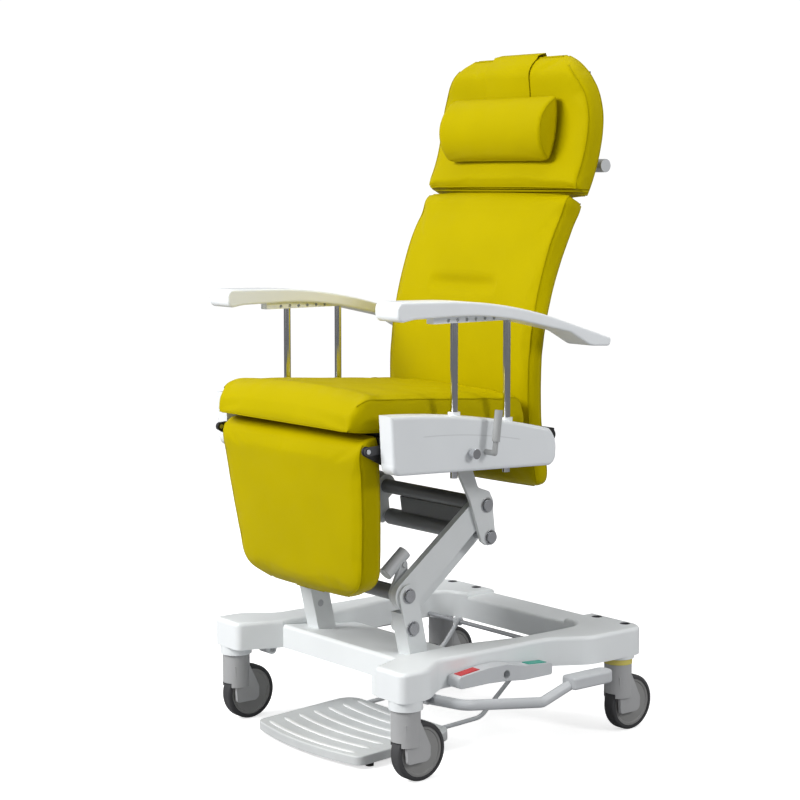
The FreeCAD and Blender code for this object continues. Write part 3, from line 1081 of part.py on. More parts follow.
def back_station(z):
    """The back curves about its waist, more gently below than above, and thickens upwards."""
    bend = s.back_bend_low if z < s.back_waist_z else s.back_bend_high
    y = s.back_waist_y + (z - s.back_waist_z) ** 2 / (2 * bend)
    lean = math.degrees(math.atan((z - s.back_waist_z) / bend))
    low, high = z - s.back_bottom, s.back_top - z
    share = min(end_share(low, s.back_heel, s.back_foot_blunt),
                end_share(high, s.back_nose, s.back_top_blunt))
    tuck = s.back_corner * (1 - ease(low, s.back_heel, CORNER_SHARE))
    tuck += s.end_tuck * (1 - ease(high, s.back_nose))
    thick = s.back_thin + (s.back_thick - s.back_thin) * (low / (s.back_top - s.back_bottom)) ** 2
    return (y, z, lean, s.back_half_width - tuck, thick * share, s.back_crown * share)


def head_station(z):
    """The head pad curls forward towards its rounded top."""
    y = s.head_peak_y - (z - s.head_peak_z) ** 2 / (2 * s.head_bend)
    lean = -math.degrees(math.atan((z - s.head_peak_z) / s.head_bend))
    low, high = z - s.head_bottom, s.head_top - z
    share = min(end_share(low, s.head_heel, s.head_foot_blunt), ease(high, s.head_nose))
    half = s.head_half_width - s.head_corner * (1 - ease(high, s.head_shoulder, CORNER_SHARE))
    return (y, z, lean, half, s.head_thickness * share, s.head_crown * share)


BACK_STATIONS = [back_station(s.back_bottom + d)
                 for d in stops(s.back_top - s.back_bottom, s.back_heel, s.back_nose, BACK_SPANS)]
HEAD_STATIONS = [head_station(s.head_bottom + d)
                 for d in stops(s.head_top - s.head_bottom, s.head_heel, s.head_nose, HEAD_SPANS)]
PILLOW_Z = s.head_top - s.pillow_drop
HEAD_HINGE = (back_station(s.back_top)[0] + s.head_hinge_back, s.head_hinge_z)


def back_section():
    node(padded("back_cushion", BACK_STATIONS), "back_cushion")
    lug_inner = s.back_half_width + s.back_lug_gap
    strap_z = s.back_hinge_z + s.back_strap_rise
    strap_y = back_station(strap_z)[0] + s.board_gap + s.section_board / 2
    tang_z = s.back_top - s.tang_drop
    tang_y = back_station(tang_z)[0] + s.board_gap + s.section_board + s.tang_gap
    tang_inner = s.head_lug_x - s.hinge_plate - s.head_lug_gap
    solids = [slab("back_slab", BACK_STATIONS[3:-3], s.back_board_half, s.section_board),
              box("back_strap", str(2 * (lug_inner + s.hinge_plate)), "section_board", "back_strap_height",
                  (-lug_inner - s.hinge_plate, strap_y, strap_z - s.back_strap_height / 2))]
    for tag, side in SIDES:
        solids.append(side_plate("back_lug_" + tag, strap_outline(
            BACK_HINGE, s.lug_radius, (strap_y, strap_z), s.lug_radius),
            "hinge_plate", lug_inner, side, [(*BACK_HINGE, FIT_HOLE)]))
        solids.append(side_plate("head_tang_" + tag, strap_outline(
            (tang_y, tang_z), s.head_lug_radius, HEAD_HINGE, s.head_lug_radius),
            "hinge_plate", tang_inner, side))
        pin_x = side * tang_inner
        pin_length = 2 * s.hinge_plate + 3 * s.head_lug_gap
        solids.append(cylinder("head_pin_stub_" + tag, "head_pin_radius", str(pin_length),
                               (pin_x if side > 0 else pin_x - pin_length, *HEAD_HINGE), ABOUT_X))
    node(fuse("back_board", *solids), "back_board")


def head_section():
    node(padded("head_cushion", HEAD_STATIONS), "head_cushion")
    solids = [slab("head_slab", HEAD_STATIONS[3:-3], s.head_half_width - s.head_board_inset, s.section_board)]
    lug_z = s.head_hinge_z + s.head_lug_rise
    lug_y = head_station(lug_z)[0] + s.board_gap + s.section_board
    for tag, side in SIDES:
        solids.append(side_plate("head_lug_" + tag, strap_outline(
            HEAD_HINGE, s.head_lug_radius, (lug_y, lug_z), s.head_lug_radius - s.weld),
            "hinge_plate", s.head_lug_x, side, [(*HEAD_HINGE, s.head_pin_radius + s.running_fit)]))
    node(fuse("head_board", *solids), "head_board")


back_section()
head_section()


def leg_section():
    """The leg rest hangs from its hinge, tilted back, narrowing to a rounded foot."""
    tilt = -s.leg_tilt
    angle = math.radians(s.leg_tilt)
    down = Vector(0, math.sin(angle), -math.cos(angle))
    out = Vector(0, -math.cos(angle), -math.sin(angle))
    front_top = Vector(0, LEG_HINGE[0] - s.leg_face, LEG_HINGE[1] + s.leg_rise)
    rear_top = front_top - out * s.leg_thickness
    length = s.leg_length
    stations = []
    for along in stops(length, s.leg_nose, s.leg_foot, LEG_SPANS):
        spot, left = rear_top + down * along, length - along
        share = min(end_share(along, s.leg_nose, s.leg_nose_blunt),
                    end_share(left, s.leg_foot, s.leg_foot_blunt))
        taper = (s.leg_half_width - s.leg_foot_half) * (along / length) ** s.leg_taper
        tuck = s.leg_corner * (1 - ease(left, s.leg_shoulder, CORNER_SHARE))
        tuck += s.end_tuck * (1 - ease(along, s.leg_nose))
        stations.append((spot.y, spot.z, tilt, s.leg_half_width - taper - tuck,
                         s.leg_thickness * share, s.leg_crown * share))
    stations.reverse()
    node(padded("leg_cushion", stations), "leg_cushion")
    solids = [slab("leg_slab", stations[3:-3], s.leg_board_half, s.section_board)]
    spot = rear_top + down * s.leg_strap_drop - out * s.board_gap
    middle = spot - out * (s.section_board / 2)
    half = LEG_LUG_INNER + s.leg_plate
    corner = spot - down * (s.leg_strap_height / 2)
    solids.append(box("leg_strap", str(2 * half), "section_board", "leg_strap_height",
                      (-half, corner.y, corner.z), Rotation(Vector(1, 0, 0), s.leg_tilt)))
    for tag, side in SIDES:
        solids.append(side_plate("leg_lug_" + tag, strap_outline(
            LEG_HINGE, s.leg_ear, (middle.y, middle.z), s.leg_ear), "leg_plate", LEG_LUG_INNER, side,
            [(*LEG_HINGE, s.leg_hinge_radius + s.running_fit)]))
    node(fuse("leg_board", *solids), "leg_board")


leg_section()


# Push handle, neck roll and strap

def push_handle():
    """A grip bar behind the headrest on two arms that rise from the back board."""
    foot_z = s.back_top - s.push_foot
    foot = (back_station(foot_z)[0] + s.section_board + s.push_arm_radius, foot_z)
    bar = cylinder("push_bar", "push_radius", "2 * push_half", (-s.push_half, s.push_y, s.push_z), ABOUT_X)
    arms = []
    for tag, side in SIDES:
        base = Vector(side * s.push_arm_x, *foot)
        tip = Vector(side * s.push_arm_x, s.push_y, s.push_z)
        arms.append(cylinder("push_arm_" + tag, "push_arm_radius", str((tip - base).Length), base,
                             Rotation(Vector(0, 0, 1), tip - base)))
    board = next(obj for obj in NODES if obj.Label == "back_board")
    node(cut("push_handle", fuse("push_handle_body", bar, *arms), board), "push_handle")


def face_point(z, n):
    """The point n in front of the head pad's middle where its spine is at height z, and the lean there."""
    y, _, lean, _, thick, crown = head_station(z)
    angle = math.radians(lean)
    reach = thick + crown + n
    return Vector(0, y - reach * math.cos(angle), z + reach * math.sin(angle)), angle


def neck_pillow():
    """A D-shaped roll: nearly flat behind, round in front, with flat ends that are softly edged."""
    lift = s.pillow_gap + s.strap_thickness + s.strap_gap + s.pillow_sag
    middle, angle = face_point(PILLOW_Z - s.pillow_set, lift)
    up = Vector(0, math.sin(angle), math.cos(angle))
    out = Vector(0, -math.cos(angle), math.sin(angle))
    wires = []
    length = 2 * s.pillow_half
    for along in stops(length, s.pillow_end, s.pillow_end, ROLL_SPANS):
        share = 1 - s.pillow_pinch * (1 - min(ease(along, s.pillow_end), ease(length - along, s.pillow_end)))
        half = s.pillow_height / 2 * share
        spot = middle + Vector(along - s.pillow_half, 0, 0)
        low, high = spot - up * half, spot + up * half
        front, rear = spot + out * (s.pillow_depth - s.pillow_sag) * share, spot - out * s.pillow_sag * share
        wires.append(Part.Wire([Part.Arc(low, rear, high).toShape(), Part.Arc(high, front, low).toShape()]))
    roll = doc.addObject("Part::Feature", "neck_roll")
    roll.Shape = Part.makeLoft(wires, True, True)
    node(roll, "neck_pillow")


def pillow_strap():
    """A flat band from behind the roll over the top of the headrest and down behind its board."""
    start, crest = PILLOW_Z - s.strap_tail, s.head_top - s.head_nose
    levels = [start + (crest - start) * i / STRAP_STEPS for i in range(STRAP_STEPS)]
    levels += [s.head_top - s.head_nose * grade for grade in CREST_GRADES]
    points = [face_point(z, s.strap_gap)[0] for z in levels]
    y, z, lean, *_ = HEAD_STATIONS[-1]
    angle = math.radians(lean)
    up = Vector(0, math.sin(angle), math.cos(angle))
    out = Vector(0, -math.cos(angle), math.sin(angle))
    points.append(face_point(s.head_top, 0)[0] + up * s.strap_gap)
    points.append(Vector(0, y, z) + (up - out) * s.strap_gap)
    clear = s.board_gap + s.section_board + s.strap_gap
    for i in range(STRAP_TURNS):
        level = crest - (s.strap_back - s.head_nose) * i / (STRAP_TURNS - 1)
        y, z, lean, *_ = head_station(level)
        angle = math.radians(lean)
        points.append(Vector(0, y + clear * math.cos(angle), z - clear * math.sin(angle)))
    outline = band([Vector(spot.y, spot.z, 0) for spot in points], s.strap_thickness)
    node(plate("strap_band", "YZ_Plane", outline, "2 * strap_half", -s.strap_half), "pillow_strap")


push_handle()
neck_pillow()
pillow_strap()

doc.recompute()
faulty = [obj.Name for obj in doc.Objects if {"Invalid", "Error"} & set(obj.State)]
faulty += [obj.Label for obj in NODES if obj.Shape.isNull() or not obj.Shape.isValid() or not obj.Shape.Solids]
if faulty:
    raise RuntimeError("failed objects: " + ", ".join(faulty))
os.makedirs("parts", exist_ok=True)
for obj in NODES:
    obj.Shape.exportStep(f"parts/{obj.Label}.step")
    print(obj.Label, len(obj.Shape.Solids), round(obj.Shape.Volume / 1000, 1))
print("nodes", len(NODES))
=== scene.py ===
import math

import bmesh
import bpy
import numpy as np
from mathutils import Matrix, Vector
from mathutils.bvhtree import BVHTree


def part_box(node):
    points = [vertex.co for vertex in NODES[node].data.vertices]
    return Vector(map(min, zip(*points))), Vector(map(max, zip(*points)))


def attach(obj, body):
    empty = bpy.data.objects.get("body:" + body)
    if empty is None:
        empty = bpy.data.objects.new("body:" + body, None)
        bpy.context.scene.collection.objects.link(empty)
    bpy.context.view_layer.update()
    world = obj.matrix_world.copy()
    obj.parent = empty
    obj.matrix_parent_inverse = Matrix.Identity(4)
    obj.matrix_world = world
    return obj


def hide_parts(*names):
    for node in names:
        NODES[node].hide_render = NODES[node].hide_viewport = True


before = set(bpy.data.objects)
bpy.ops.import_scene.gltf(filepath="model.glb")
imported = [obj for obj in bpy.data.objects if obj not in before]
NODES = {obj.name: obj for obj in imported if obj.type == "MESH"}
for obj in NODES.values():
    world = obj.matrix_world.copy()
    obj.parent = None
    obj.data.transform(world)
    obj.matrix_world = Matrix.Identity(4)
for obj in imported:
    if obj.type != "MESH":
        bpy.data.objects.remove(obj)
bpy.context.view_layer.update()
MM = 0.001


# Materials

class Nodes:
    """Short ways to add and link the nodes of a shader tree."""

    def __init__(self, tree):
        self.tree = tree

    def add(self, kind, **values):
        node = self.tree.nodes.new(kind)
        for key, value in values.items():
            setattr(node, key, value)
        return node

    def put(self, source, target):
        self.tree.links.new(source, target)

    def math(self, operation, a, b=None, clamp=False):
        node = self.add("ShaderNodeMath", operation=operation, use_clamp=clamp)
        for socket, value in zip(node.inputs, (a, b)):
            if value is None:
                continue
            if isinstance(value, (int, float)):
                socket.default_value = value
            else:
                self.put(value, socket)
        return node.outputs[0]

    def remap(self, value, low, high, to_low, to_high):
        node = self.add("ShaderNodeMapRange")
        for key, number in (("From Min", low), ("From Max", high), ("To Min", to_low), ("To Max", to_high)):
            node.inputs[key].default_value = number
        self.put(value, node.inputs["Value"])
        return node.outputs["Result"]

    def mix(self, share, first, second):
        """Mixes two colours, or a link and a colour, by a link."""
        node = self.add("ShaderNodeMix", data_type="RGBA")
        self.put(share, node.inputs["Factor"])
        for socket, value in ((node.inputs[6], first), (node.inputs[7], second)):
            if isinstance(value, tuple):
                socket.default_value = (*value, 1)
            else:
                self.put(value, socket)
        return node.outputs[2]


class Surface(Nodes):
    """A procedural material whose detail is measured in the chair's own coordinates."""

    def __init__(self, name, color, rough, metallic=0.0):
        self.material = bpy.data.materials.new(name)
        self.material.use_nodes = True
        super().__init__(self.material.node_tree)
        self.bsdf = self.tree.nodes["Principled BSDF"]
        self.bsdf.inputs["Base Color"].default_value = (*color, 1)
        self.bsdf.inputs["Roughness"].default_value = rough
        self.bsdf.inputs["Metallic"].default_value = metallic
        self.coords = self.add("ShaderNodeTexCoord").outputs["Object"]
        self.normal = None

    def noise(self, scale, detail=3.0, stretch=None):
        node = self.add("ShaderNodeTexNoise")
        node.inputs["Scale"].default_value = scale
        node.inputs["Detail"].default_value = detail
        coords = self.coords
        if stretch:
            mapping = self.add("ShaderNodeMapping")
            mapping.inputs["Scale"].default_value = stretch
            self.put(coords, mapping.inputs["Vector"])
            coords = mapping.outputs["Vector"]
        self.put(coords, node.inputs["Vector"])
        return node.outputs["Fac"]

    def cloud(self, scale, detail=3.0):
        """Soft noise, spread from nought to one."""
        return self.remap(self.noise(scale, detail), 0.35, 0.65, 0.0, 1.0)

    def cells(self, scale):
        node = self.add("ShaderNodeTexVoronoi", feature="DISTANCE_TO_EDGE")
        node.inputs["Scale"].default_value = scale
        self.put(self.coords, node.inputs["Vector"])
        return node.outputs["Distance"]

    def bump(self, height, depth, strength=1.0):
        """Adds relief from a height, with its depth in millimetres."""
        node = self.add("ShaderNodeBump")
        node.inputs["Distance"].default_value = depth * MM
        node.inputs["Strength"].default_value = strength
        self.put(height, node.inputs["Height"])
        if self.normal is not None:
            self.put(self.normal, node.inputs["Normal"])
        self.normal = node.outputs["Normal"]
        self.put(self.normal, self.bsdf.inputs["Normal"])

    def bevel(self, radius):
        """Softens hard edges by a radius in millimetres and returns how near an edge a point lies."""
        node = self.add("ShaderNodeBevel", samples=4)
        node.inputs["Radius"].default_value = radius * MM
        self.normal = node.outputs["Normal"]
        self.put(self.normal, self.bsdf.inputs["Normal"])
        plain = self.add("ShaderNodeNewGeometry").outputs["Normal"]
        dot = self.add("ShaderNodeVectorMath", operation="DOT_PRODUCT")
        self.put(self.normal, dot.inputs[0])
        self.put(plain, dot.inputs[1])
        return self.remap(dot.outputs["Value"], 1.0, 0.8, 0.0, 1.0)

    def axis(self, letter):
        node = self.add("ShaderNodeSeparateXYZ")
        self.put(self.coords, node.inputs["Vector"])
        return node.outputs[letter]

    def line(self, value, centre, half):
        """One on a thin band of a coordinate, falling to nothing at its sides."""
        away = self.math("ABSOLUTE", self.math("SUBTRACT", value, centre))
        return self.remap(away, 0.0, half, 1.0, 0.0)


def scaled(color, share):
    return tuple(min(1.0, c * share) for c in color)


def coated(name, color, rough, grain=900.0, depth=0.1, bevel=1.0, drift=0.1, wear=1.25):
    """Moulded plastic or thin paint: soft drift of tone, fine grain, rubbed edges.

    The depth of the grain and the bevel are in millimetres.
    """
    m = Surface(name, color, rough)
    edge = m.bevel(bevel)
    tone = m.mix(m.cloud(7.0, 4.0), scaled(color, 1 - drift), scaled(color, 1 + drift / 2))
    rubbed = m.math("MULTIPLY", edge, m.remap(m.noise(160.0, 2.0), 0.4, 0.7, 0.0, 0.55), clamp=True)
    m.put(m.mix(rubbed, tone, scaled(color, wear)), m.bsdf.inputs["Base Color"])
    smear = m.noise(38.0, 4.0, (1.0, 1.0, 0.4))
    m.put(m.remap(smear, 0.3, 0.7, rough - 0.07, rough + 0.08), m.bsdf.inputs["Roughness"])
    m.bump(m.noise(grain, 2.0), depth)
    return m


def satin(name, color, rough, groove_shade=None):
    """Thick satin coat or glossy moulding: a faint drift of tone and sheen, a slight orange peel and, where a
    groove is given, a darker line of painted shade along it.
    """
    m = Surface(name, color, rough)
    tone = m.mix(m.cloud(5.0), scaled(color, 0.975), scaled(color, 1.015))
    if groove_shade:
        # painted shade: the colour is darkened along the groove line
        line = groove_shade(m)
        tone = m.mix(m.math("MULTIPLY", line, 0.35), tone, scaled(color, 0.4))
    m.put(tone, m.bsdf.inputs["Base Color"])
    m.put(m.remap(m.noise(24.0, 3.0), 0.3, 0.7, rough - 0.04, rough + 0.05), m.bsdf.inputs["Roughness"])
    m.bump(m.noise(260.0, 1.0), depth=0.02, strength=0.4)
    return m


# The groove near the top of a side panel, drawn as a line of painted shade
GROOVE_MIDDLE = -135.6 * MM
GROOVE_HEIGHT = 710.1 * MM
GROOVE_HALF = 1.6 * MM
GROOVE_REACH = 136 * MM
GROOVE_FADE = 8 * MM
GROOVE_FALL = 0.099
GROOVE_BEND = 0.377


def panel_groove_shade(m):
    """Painted shade along the shallow groove that follows the top of a side panel: a darker line in the
    colour, without relief.
    """
    along = m.math("SUBTRACT", m.axis("Y"), GROOVE_MIDDLE)
    bend = m.math("MULTIPLY", m.math("MULTIPLY", along, along), GROOVE_BEND)
    level = m.math("ADD", m.math("ADD", m.axis("Z"), m.math("MULTIPLY", along, GROOVE_FALL)), bend)
    ends = m.remap(m.math("ABSOLUTE", along), GROOVE_REACH - GROOVE_FADE, GROOVE_REACH, 1.0, 0.0)
    return m.math("MULTIPLY", m.line(level, GROOVE_HEIGHT, GROOVE_HALF), ends, clamp=True)


def metal(name, color, rough, stretch, scratches=0.02):
    """Bare or plated metal; its brush marks run along the axis with the smallest stretch."""
    m = Surface(name, color, rough, metallic=1.0)
    m.bevel(0.8)
    brush = m.noise(900.0, 3.0, stretch)
    m.put(m.remap(brush, 0.3, 0.7, rough * 0.7, rough * 1.4), m.bsdf.inputs["Roughness"])
    m.put(m.mix(m.cloud(14.0), scaled(color, 0.94), scaled(color, 1.03)), m.bsdf.inputs["Base Color"])
    m.bump(brush, scratches)
    return m


SEAM_HALF = 2.6 * MM


def vinyl(name, color, seams=()):
    """Upholstery vinyl: fine pebble grain, soft drift of tone and sheen, stitched lines at given heights,
    pressed in and darkened with painted shade.
    """
    m = Surface(name, color, 0.5)
    tone = m.mix(m.cloud(5.0), scaled(color, 0.96), scaled(color, 1.03))
    pebble = m.remap(m.cells(620.0), 0.0, 0.22, 0.0, 1.0)
    tone = m.mix(m.remap(pebble, 0.0, 1.0, 0.14, 0.0), tone, scaled(color, 0.72))
    height = m.axis("Z")
    seam_dips_and_shade = None
    for level in seams:
        stripe = m.line(height, level, SEAM_HALF)
        seam_dips_and_shade = stripe if seam_dips_and_shade is None else m.math("MAXIMUM", seam_dips_and_shade, stripe)
    # painted shade: the colour darkens along the stitched lines
    if seam_dips_and_shade is not None:
        tone = m.mix(m.math("MULTIPLY", seam_dips_and_shade, 0.45), tone, scaled(color, 0.45))
    m.put(tone, m.bsdf.inputs["Base Color"])
    sheen = m.noise(24.0, 4.0)
    m.put(m.remap(sheen, 0.3, 0.7, 0.42, 0.55), m.bsdf.inputs["Roughness"])
    m.bsdf.inputs["Specular IOR Level"].default_value = 0.07
    m.bsdf.inputs["Specular Tint"].default_value = (1.0, 0.9, 0.1, 1)
    m.bump(m.noise(9.0, 3.0), depth=1.6, strength=0.5)
    m.bump(pebble, depth=0.12, strength=0.8)
    if seam_dips_and_shade is not None:
        m.bump(m.math("SUBTRACT", 1.0, seam_dips_and_shade), depth=2.2)
    return m


YELLOW = (0.48, 0.392, 0.0)
WHITE = (0.84, 0.87, 0.88)
HEAD_SEAMS = (1206.5 * MM, 1213.5 * MM)
VINYL = vinyl("vinyl_yellow", YELLOW)
VINYL_HEAD = vinyl("vinyl_yellow_head", YELLOW, seams=HEAD_SEAMS)
# painted shade: the cushion yellow darkened for the piping along the sewn edges
SHADED_PIPING = vinyl("vinyl_piping_shaded", scaled(YELLOW, 0.86))
FRAME_WHITE = satin("frame_white", WHITE, rough=0.38)
# painted shade: the frame white darkened for the lift parts under the seat
SHADED_LEVER_WHITE = satin("lever_white_shaded", scaled(WHITE, 0.86), rough=0.40)
TUBE_GREY = satin("tube_grey", (0.20, 0.205, 0.21), rough=0.34)
SHELL = satin("shell_plastic", (0.83, 0.86, 0.88), rough=0.34, groove_shade=panel_groove_shade)
# painted light: a paler copy of the shell plastic, standing in for the light on the arm tops; the post
# collars share it
LIT_ARM_SHELL = satin("arm_plastic_lit", (0.90, 0.93, 0.95), rough=0.34)
CASTOR_GREY = coated("castor_grey", (0.44, 0.445, 0.45), rough=0.46, grain=1100.0, bevel=1.2, drift=0.08)
DISC_GREY = coated("wheel_disc", (0.30, 0.30, 0.295), rough=0.44, depth=0.08, drift=0.08)
TYRE = coated("tyre_rubber", (0.05, 0.05, 0.053), rough=0.55, grain=700.0, depth=0.16, drift=0.25, wear=2.2)
BOARD = coated("board_black", (0.012, 0.012, 0.013), rough=0.55, grain=500.0, depth=0.12, drift=0.2, wear=2.0)
DARK_FRAME = coated("dark_frame", (0.035, 0.035, 0.04), rough=0.42, grain=700.0, depth=0.06, wear=1.8)
HANDLE_GREY = coated("handle_grey", (0.60, 0.62, 0.64), rough=0.38, depth=0.05, drift=0.05)
LEVER_GREY = coated("lever_grey", (0.42, 0.43, 0.43), rough=0.36, depth=0.05, drift=0.06)
PEDAL = coated("pedal_grey", (0.62, 0.64, 0.66), rough=0.40, depth=0.08, bevel=2.0, drift=0.06)
RED = coated("pedal_red", (0.60, 0.025, 0.03), rough=0.42)
GREEN = coated("pedal_green", (0.01, 0.36, 0.27), rough=0.42)
RING = coated("ring_yellow", (0.72, 0.62, 0.14), rough=0.45)
STEP = coated("step_plastic", (0.66, 0.68, 0.68), rough=0.45, grain=800.0, depth=0.12, bevel=1.5, drift=0.08)
# painted light: a paler copy of the step plastic for the tops of the treads, where light falls
LIT_STEP_TREAD = coated("step_tread", (0.88, 0.89, 0.89), rough=0.42, grain=800.0, depth=0.12, drift=0.06)
RUBBER = coated("foot_rubber", (0.02, 0.02, 0.02), rough=0.6, grain=600.0, depth=0.2, drift=0.2)
SLEEVE = coated("sleeve_grey", (0.10, 0.10, 0.11), rough=0.45, depth=0.08, bevel=0.8)
STEEL = metal("zinc_steel", (0.56, 0.57, 0.59), rough=0.34, stretch=(0.2, 1.0, 1.0))
CHROME = metal("chrome", (0.74, 0.75, 0.77), rough=0.10, stretch=(1.0, 1.0, 0.05), scratches=0.004)

LOOKS = {
    "side_rail_left": FRAME_WHITE, "side_rail_right": FRAME_WHITE, "base_platform": FRAME_WHITE,
    "rear_beam": FRAME_WHITE, "lift_bracket_left": SHADED_LEVER_WHITE, "lift_bracket_right": SHADED_LEVER_WHITE,
    "lift_lever_left": SHADED_LEVER_WHITE, "lift_lever_right": SHADED_LEVER_WHITE, "upper_bracket_left": SHADED_LEVER_WHITE,
    "upper_bracket_right": SHADED_LEVER_WHITE, "lever_tubes": TUBE_GREY, "cross_beam": TUBE_GREY,
    "control_link": SHADED_LEVER_WHITE, "side_panel_left": SHELL, "side_panel_right": SHELL,
    "armrest_left": LIT_ARM_SHELL, "armrest_right": LIT_ARM_SHELL, "lower_pivot_pins": STEEL,
    "upper_pivot_pins": STEEL, "step_shaft": STEEL, "pedal_shaft": STEEL,
    "arm_posts_left": CHROME, "arm_posts_right": CHROME, "latch_knob_left": CHROME,
    "latch_knob_right": CHROME, "recline_lever": LEVER_GREY, "socket_sleeves": SLEEVE,
    "post_collars": LIT_ARM_SHELL, "direction_ring": RING, "seat_frame": DARK_FRAME,
    "seat_board": BOARD, "back_board": BOARD, "head_board": BOARD, "leg_board": BOARD,
    "lift_crank": HANDLE_GREY, "step_rods": HANDLE_GREY, "push_handle": HANDLE_GREY,
    "pump_bar_left": HANDLE_GREY, "pump_bar_right": HANDLE_GREY, "brake_pedal_left": PEDAL,
    "brake_pedal_right": PEDAL, "brake_marks": RED, "release_marks": GREEN,
    "step_plate": STEP, "step_feet": RUBBER,
}


def paint(obj, *surfaces):
    obj.data.materials.clear()
    for surface in surfaces:
        obj.data.materials.append(surface.material)


for node_name, surface in LOOKS.items():
    paint(NODES[node_name], surface)

RIM_RADIUS = 53 * MM
RIM_SLACK = 0.2 * MM
for corner in ("front_left", "front_right", "rear_left", "rear_right"):
    paint(NODES["castor_fork_" + corner], CASTOR_GREY)
    wheel = NODES["castor_wheel_" + corner]
    paint(wheel, DISC_GREY, TYRE)
    low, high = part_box("castor_wheel_" + corner)
    centre = (Vector(low) + Vector(high)) / 2
    for face in wheel.data.polygons:
        away = face.center - centre
        face.material_index = 1 if math.hypot(away.y, away.z) > RIM_RADIUS - RIM_SLACK else 0


# Soft pieces

WELD = 0.05 * MM
SEAM_ANGLE = 32
BACK_FACING = 0.75
BACK_SHRINK = 0.15
SWELL_FRAMES = 20
PIPING_RADIUS = 1.5 * MM
PIPING_SINK = 0.3
PIPING_SPACING = 8 * MM
PIPING_LEAST = 8
PIPING_PASSES = 3
SHORT_RUN = 50 * MM
STRAP_EDGE = 0.7 * MM


def show(name, data):
    """A new object of the scene that holds the given data."""
    obj = bpy.data.objects.new(name, data)
    bpy.context.collection.objects.link(obj)
    return obj


def smooth(mesh):
    for face in mesh.polygons:
        face.use_smooth = True


def clean_copy(name, node):
    """A welded copy of a CAD node's mesh as a new object."""
    mesh = NODES[node].data.copy()
    obj = show(name, mesh)
    obj.matrix_world = NODES[node].matrix_world.copy()
    work = bmesh.new()
    work.from_mesh(mesh)
    work.transform(obj.matrix_world)
    bmesh.ops.remove_doubles(work, verts=work.verts, dist=WELD)
    work.to_mesh(mesh)
    work.free()
    obj.matrix_world = Matrix()
    return obj


def bake(obj):
    """Replaces an object's mesh by what its modifiers make of it."""
    graph = bpy.context.evaluated_depsgraph_get()
    mesh = bpy.data.meshes.new_from_object(obj.evaluated_get(graph))
    obj.modifiers.clear()
    obj.data = mesh


def sharp_runs(obj, least):
    """Chains of edges where two faces meet at more than an angle."""
    work = bmesh.new()
    work.from_mesh(obj.data)
    near = {}
    for edge in work.edges:
        if len(edge.link_faces) == 2 and edge.calc_face_angle() > least:
            a, b = edge.verts
            near.setdefault(a.index, []).append(b.index)
            near.setdefault(b.index, []).append(a.index)
    spots = {v.index: v.co.copy() for v in work.verts}
    work.free()
    runs, used = [], set()
    starts = [v for v, others in near.items() if len(others) != 2] + list(near)
    for start in starts:
        for step in near[start]:
            if (start, step) in used:
                continue
            run = [start]
            before, here = start, step
            while True:
                used.update({(before, here), (here, before)})
                run.append(here)
                ahead = [v for v in near[here] if v != before and (here, v) not in used]
                if len(near[here]) != 2 or not ahead:
                    break
                before, here = here, ahead[0]
            runs.append([spots[i] for i in run])
    return runs


def places(mesh):
    spots = np.empty(len(mesh.vertices) * 3, np.float32)
    mesh.vertices.foreach_get("co", spots)
    return spots.reshape(-1, 3)


def facings(mesh):
    ways = np.empty(len(mesh.vertices) * 3, np.float32)
    mesh.vertex_normals.foreach_get("vector", ways)
    return ways.reshape(-1, 3)


def move_to(mesh, spots):
    mesh.vertices.foreach_set("co", np.ascontiguousarray(spots, np.float32).ravel())
    mesh.update()


def swell(obj, back, pressure, cap):
    """Inflates a closed pad a little with cloth; its back, facing along back, stays put."""
    mesh = obj.data
    group = obj.vertex_groups.new(name="held")
    group.add([int(i) for i in np.nonzero(facings(mesh) @ np.array(back) > BACK_FACING)[0]], 1.0, "REPLACE")
    start = places(mesh)
    cloth = obj.modifiers.new("cloth", "CLOTH")
    cloth.settings.quality = 4
    cloth.settings.mass = 0.3
    cloth.settings.tension_stiffness = 12
    cloth.settings.compression_stiffness = 12
    cloth.settings.bending_stiffness = 1.5
    cloth.settings.use_pressure = True
    cloth.settings.uniform_pressure_force = pressure
    cloth.settings.vertex_group_mass = "held"
    cloth.settings.effector_weights.gravity = 0
    cloth.collision_settings.use_collision = False
    scene = bpy.context.scene
    for step in range(1, SWELL_FRAMES + 1):
        scene.frame_set(step)
    bake(obj)
    move = places(obj.data) - start
    length = np.linalg.norm(move, axis=1, keepdims=True)
    move_to(obj.data, start + move * np.minimum(1.0, cap / np.maximum(length, 1e-9)))
    scene.frame_set(1)
    obj.vertex_groups.clear()


def soften(obj, factor, repeat):
    relax = obj.modifiers.new("smooth", "SMOOTH")
    relax.factor = factor
    relax.iterations = repeat
    bake(obj)


def upholster(node, body, back, surface, voxel=5.5, shrink=1.5, cap=3.5, pressure=3.0, shape=None):
    """A pad made from its CAD form, shrunk and then swollen with cloth, and the runs of its sewn edges."""
    obj = clean_copy("soft_" + node, node)
    runs = sharp_runs(obj, math.radians(SEAM_ANGLE))
    remesh = obj.modifiers.new("remesh", "REMESH")
    remesh.mode = "VOXEL"
    remesh.voxel_size = voxel * MM
    bake(obj)
    soften(obj, factor=0.5, repeat=3)
    ways = facings(obj.data)
    depth = np.where(ways @ np.array(back) > BACK_FACING, BACK_SHRINK, 1.0)[:, None]
    move_to(obj.data, places(obj.data) - ways * depth * shrink * MM)
    swell(obj, back, pressure, cap * MM)
    soften(obj, factor=0.5, repeat=6)
    if shape:
        move_to(obj.data, shape(places(obj.data), facings(obj.data)))
    smooth(obj.data)
    paint(obj, surface)
    divide = obj.modifiers.new("divide", "SUBSURF")
    divide.levels = divide.render_levels = 1
    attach(obj, body)
    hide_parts(node)
    return obj, runs


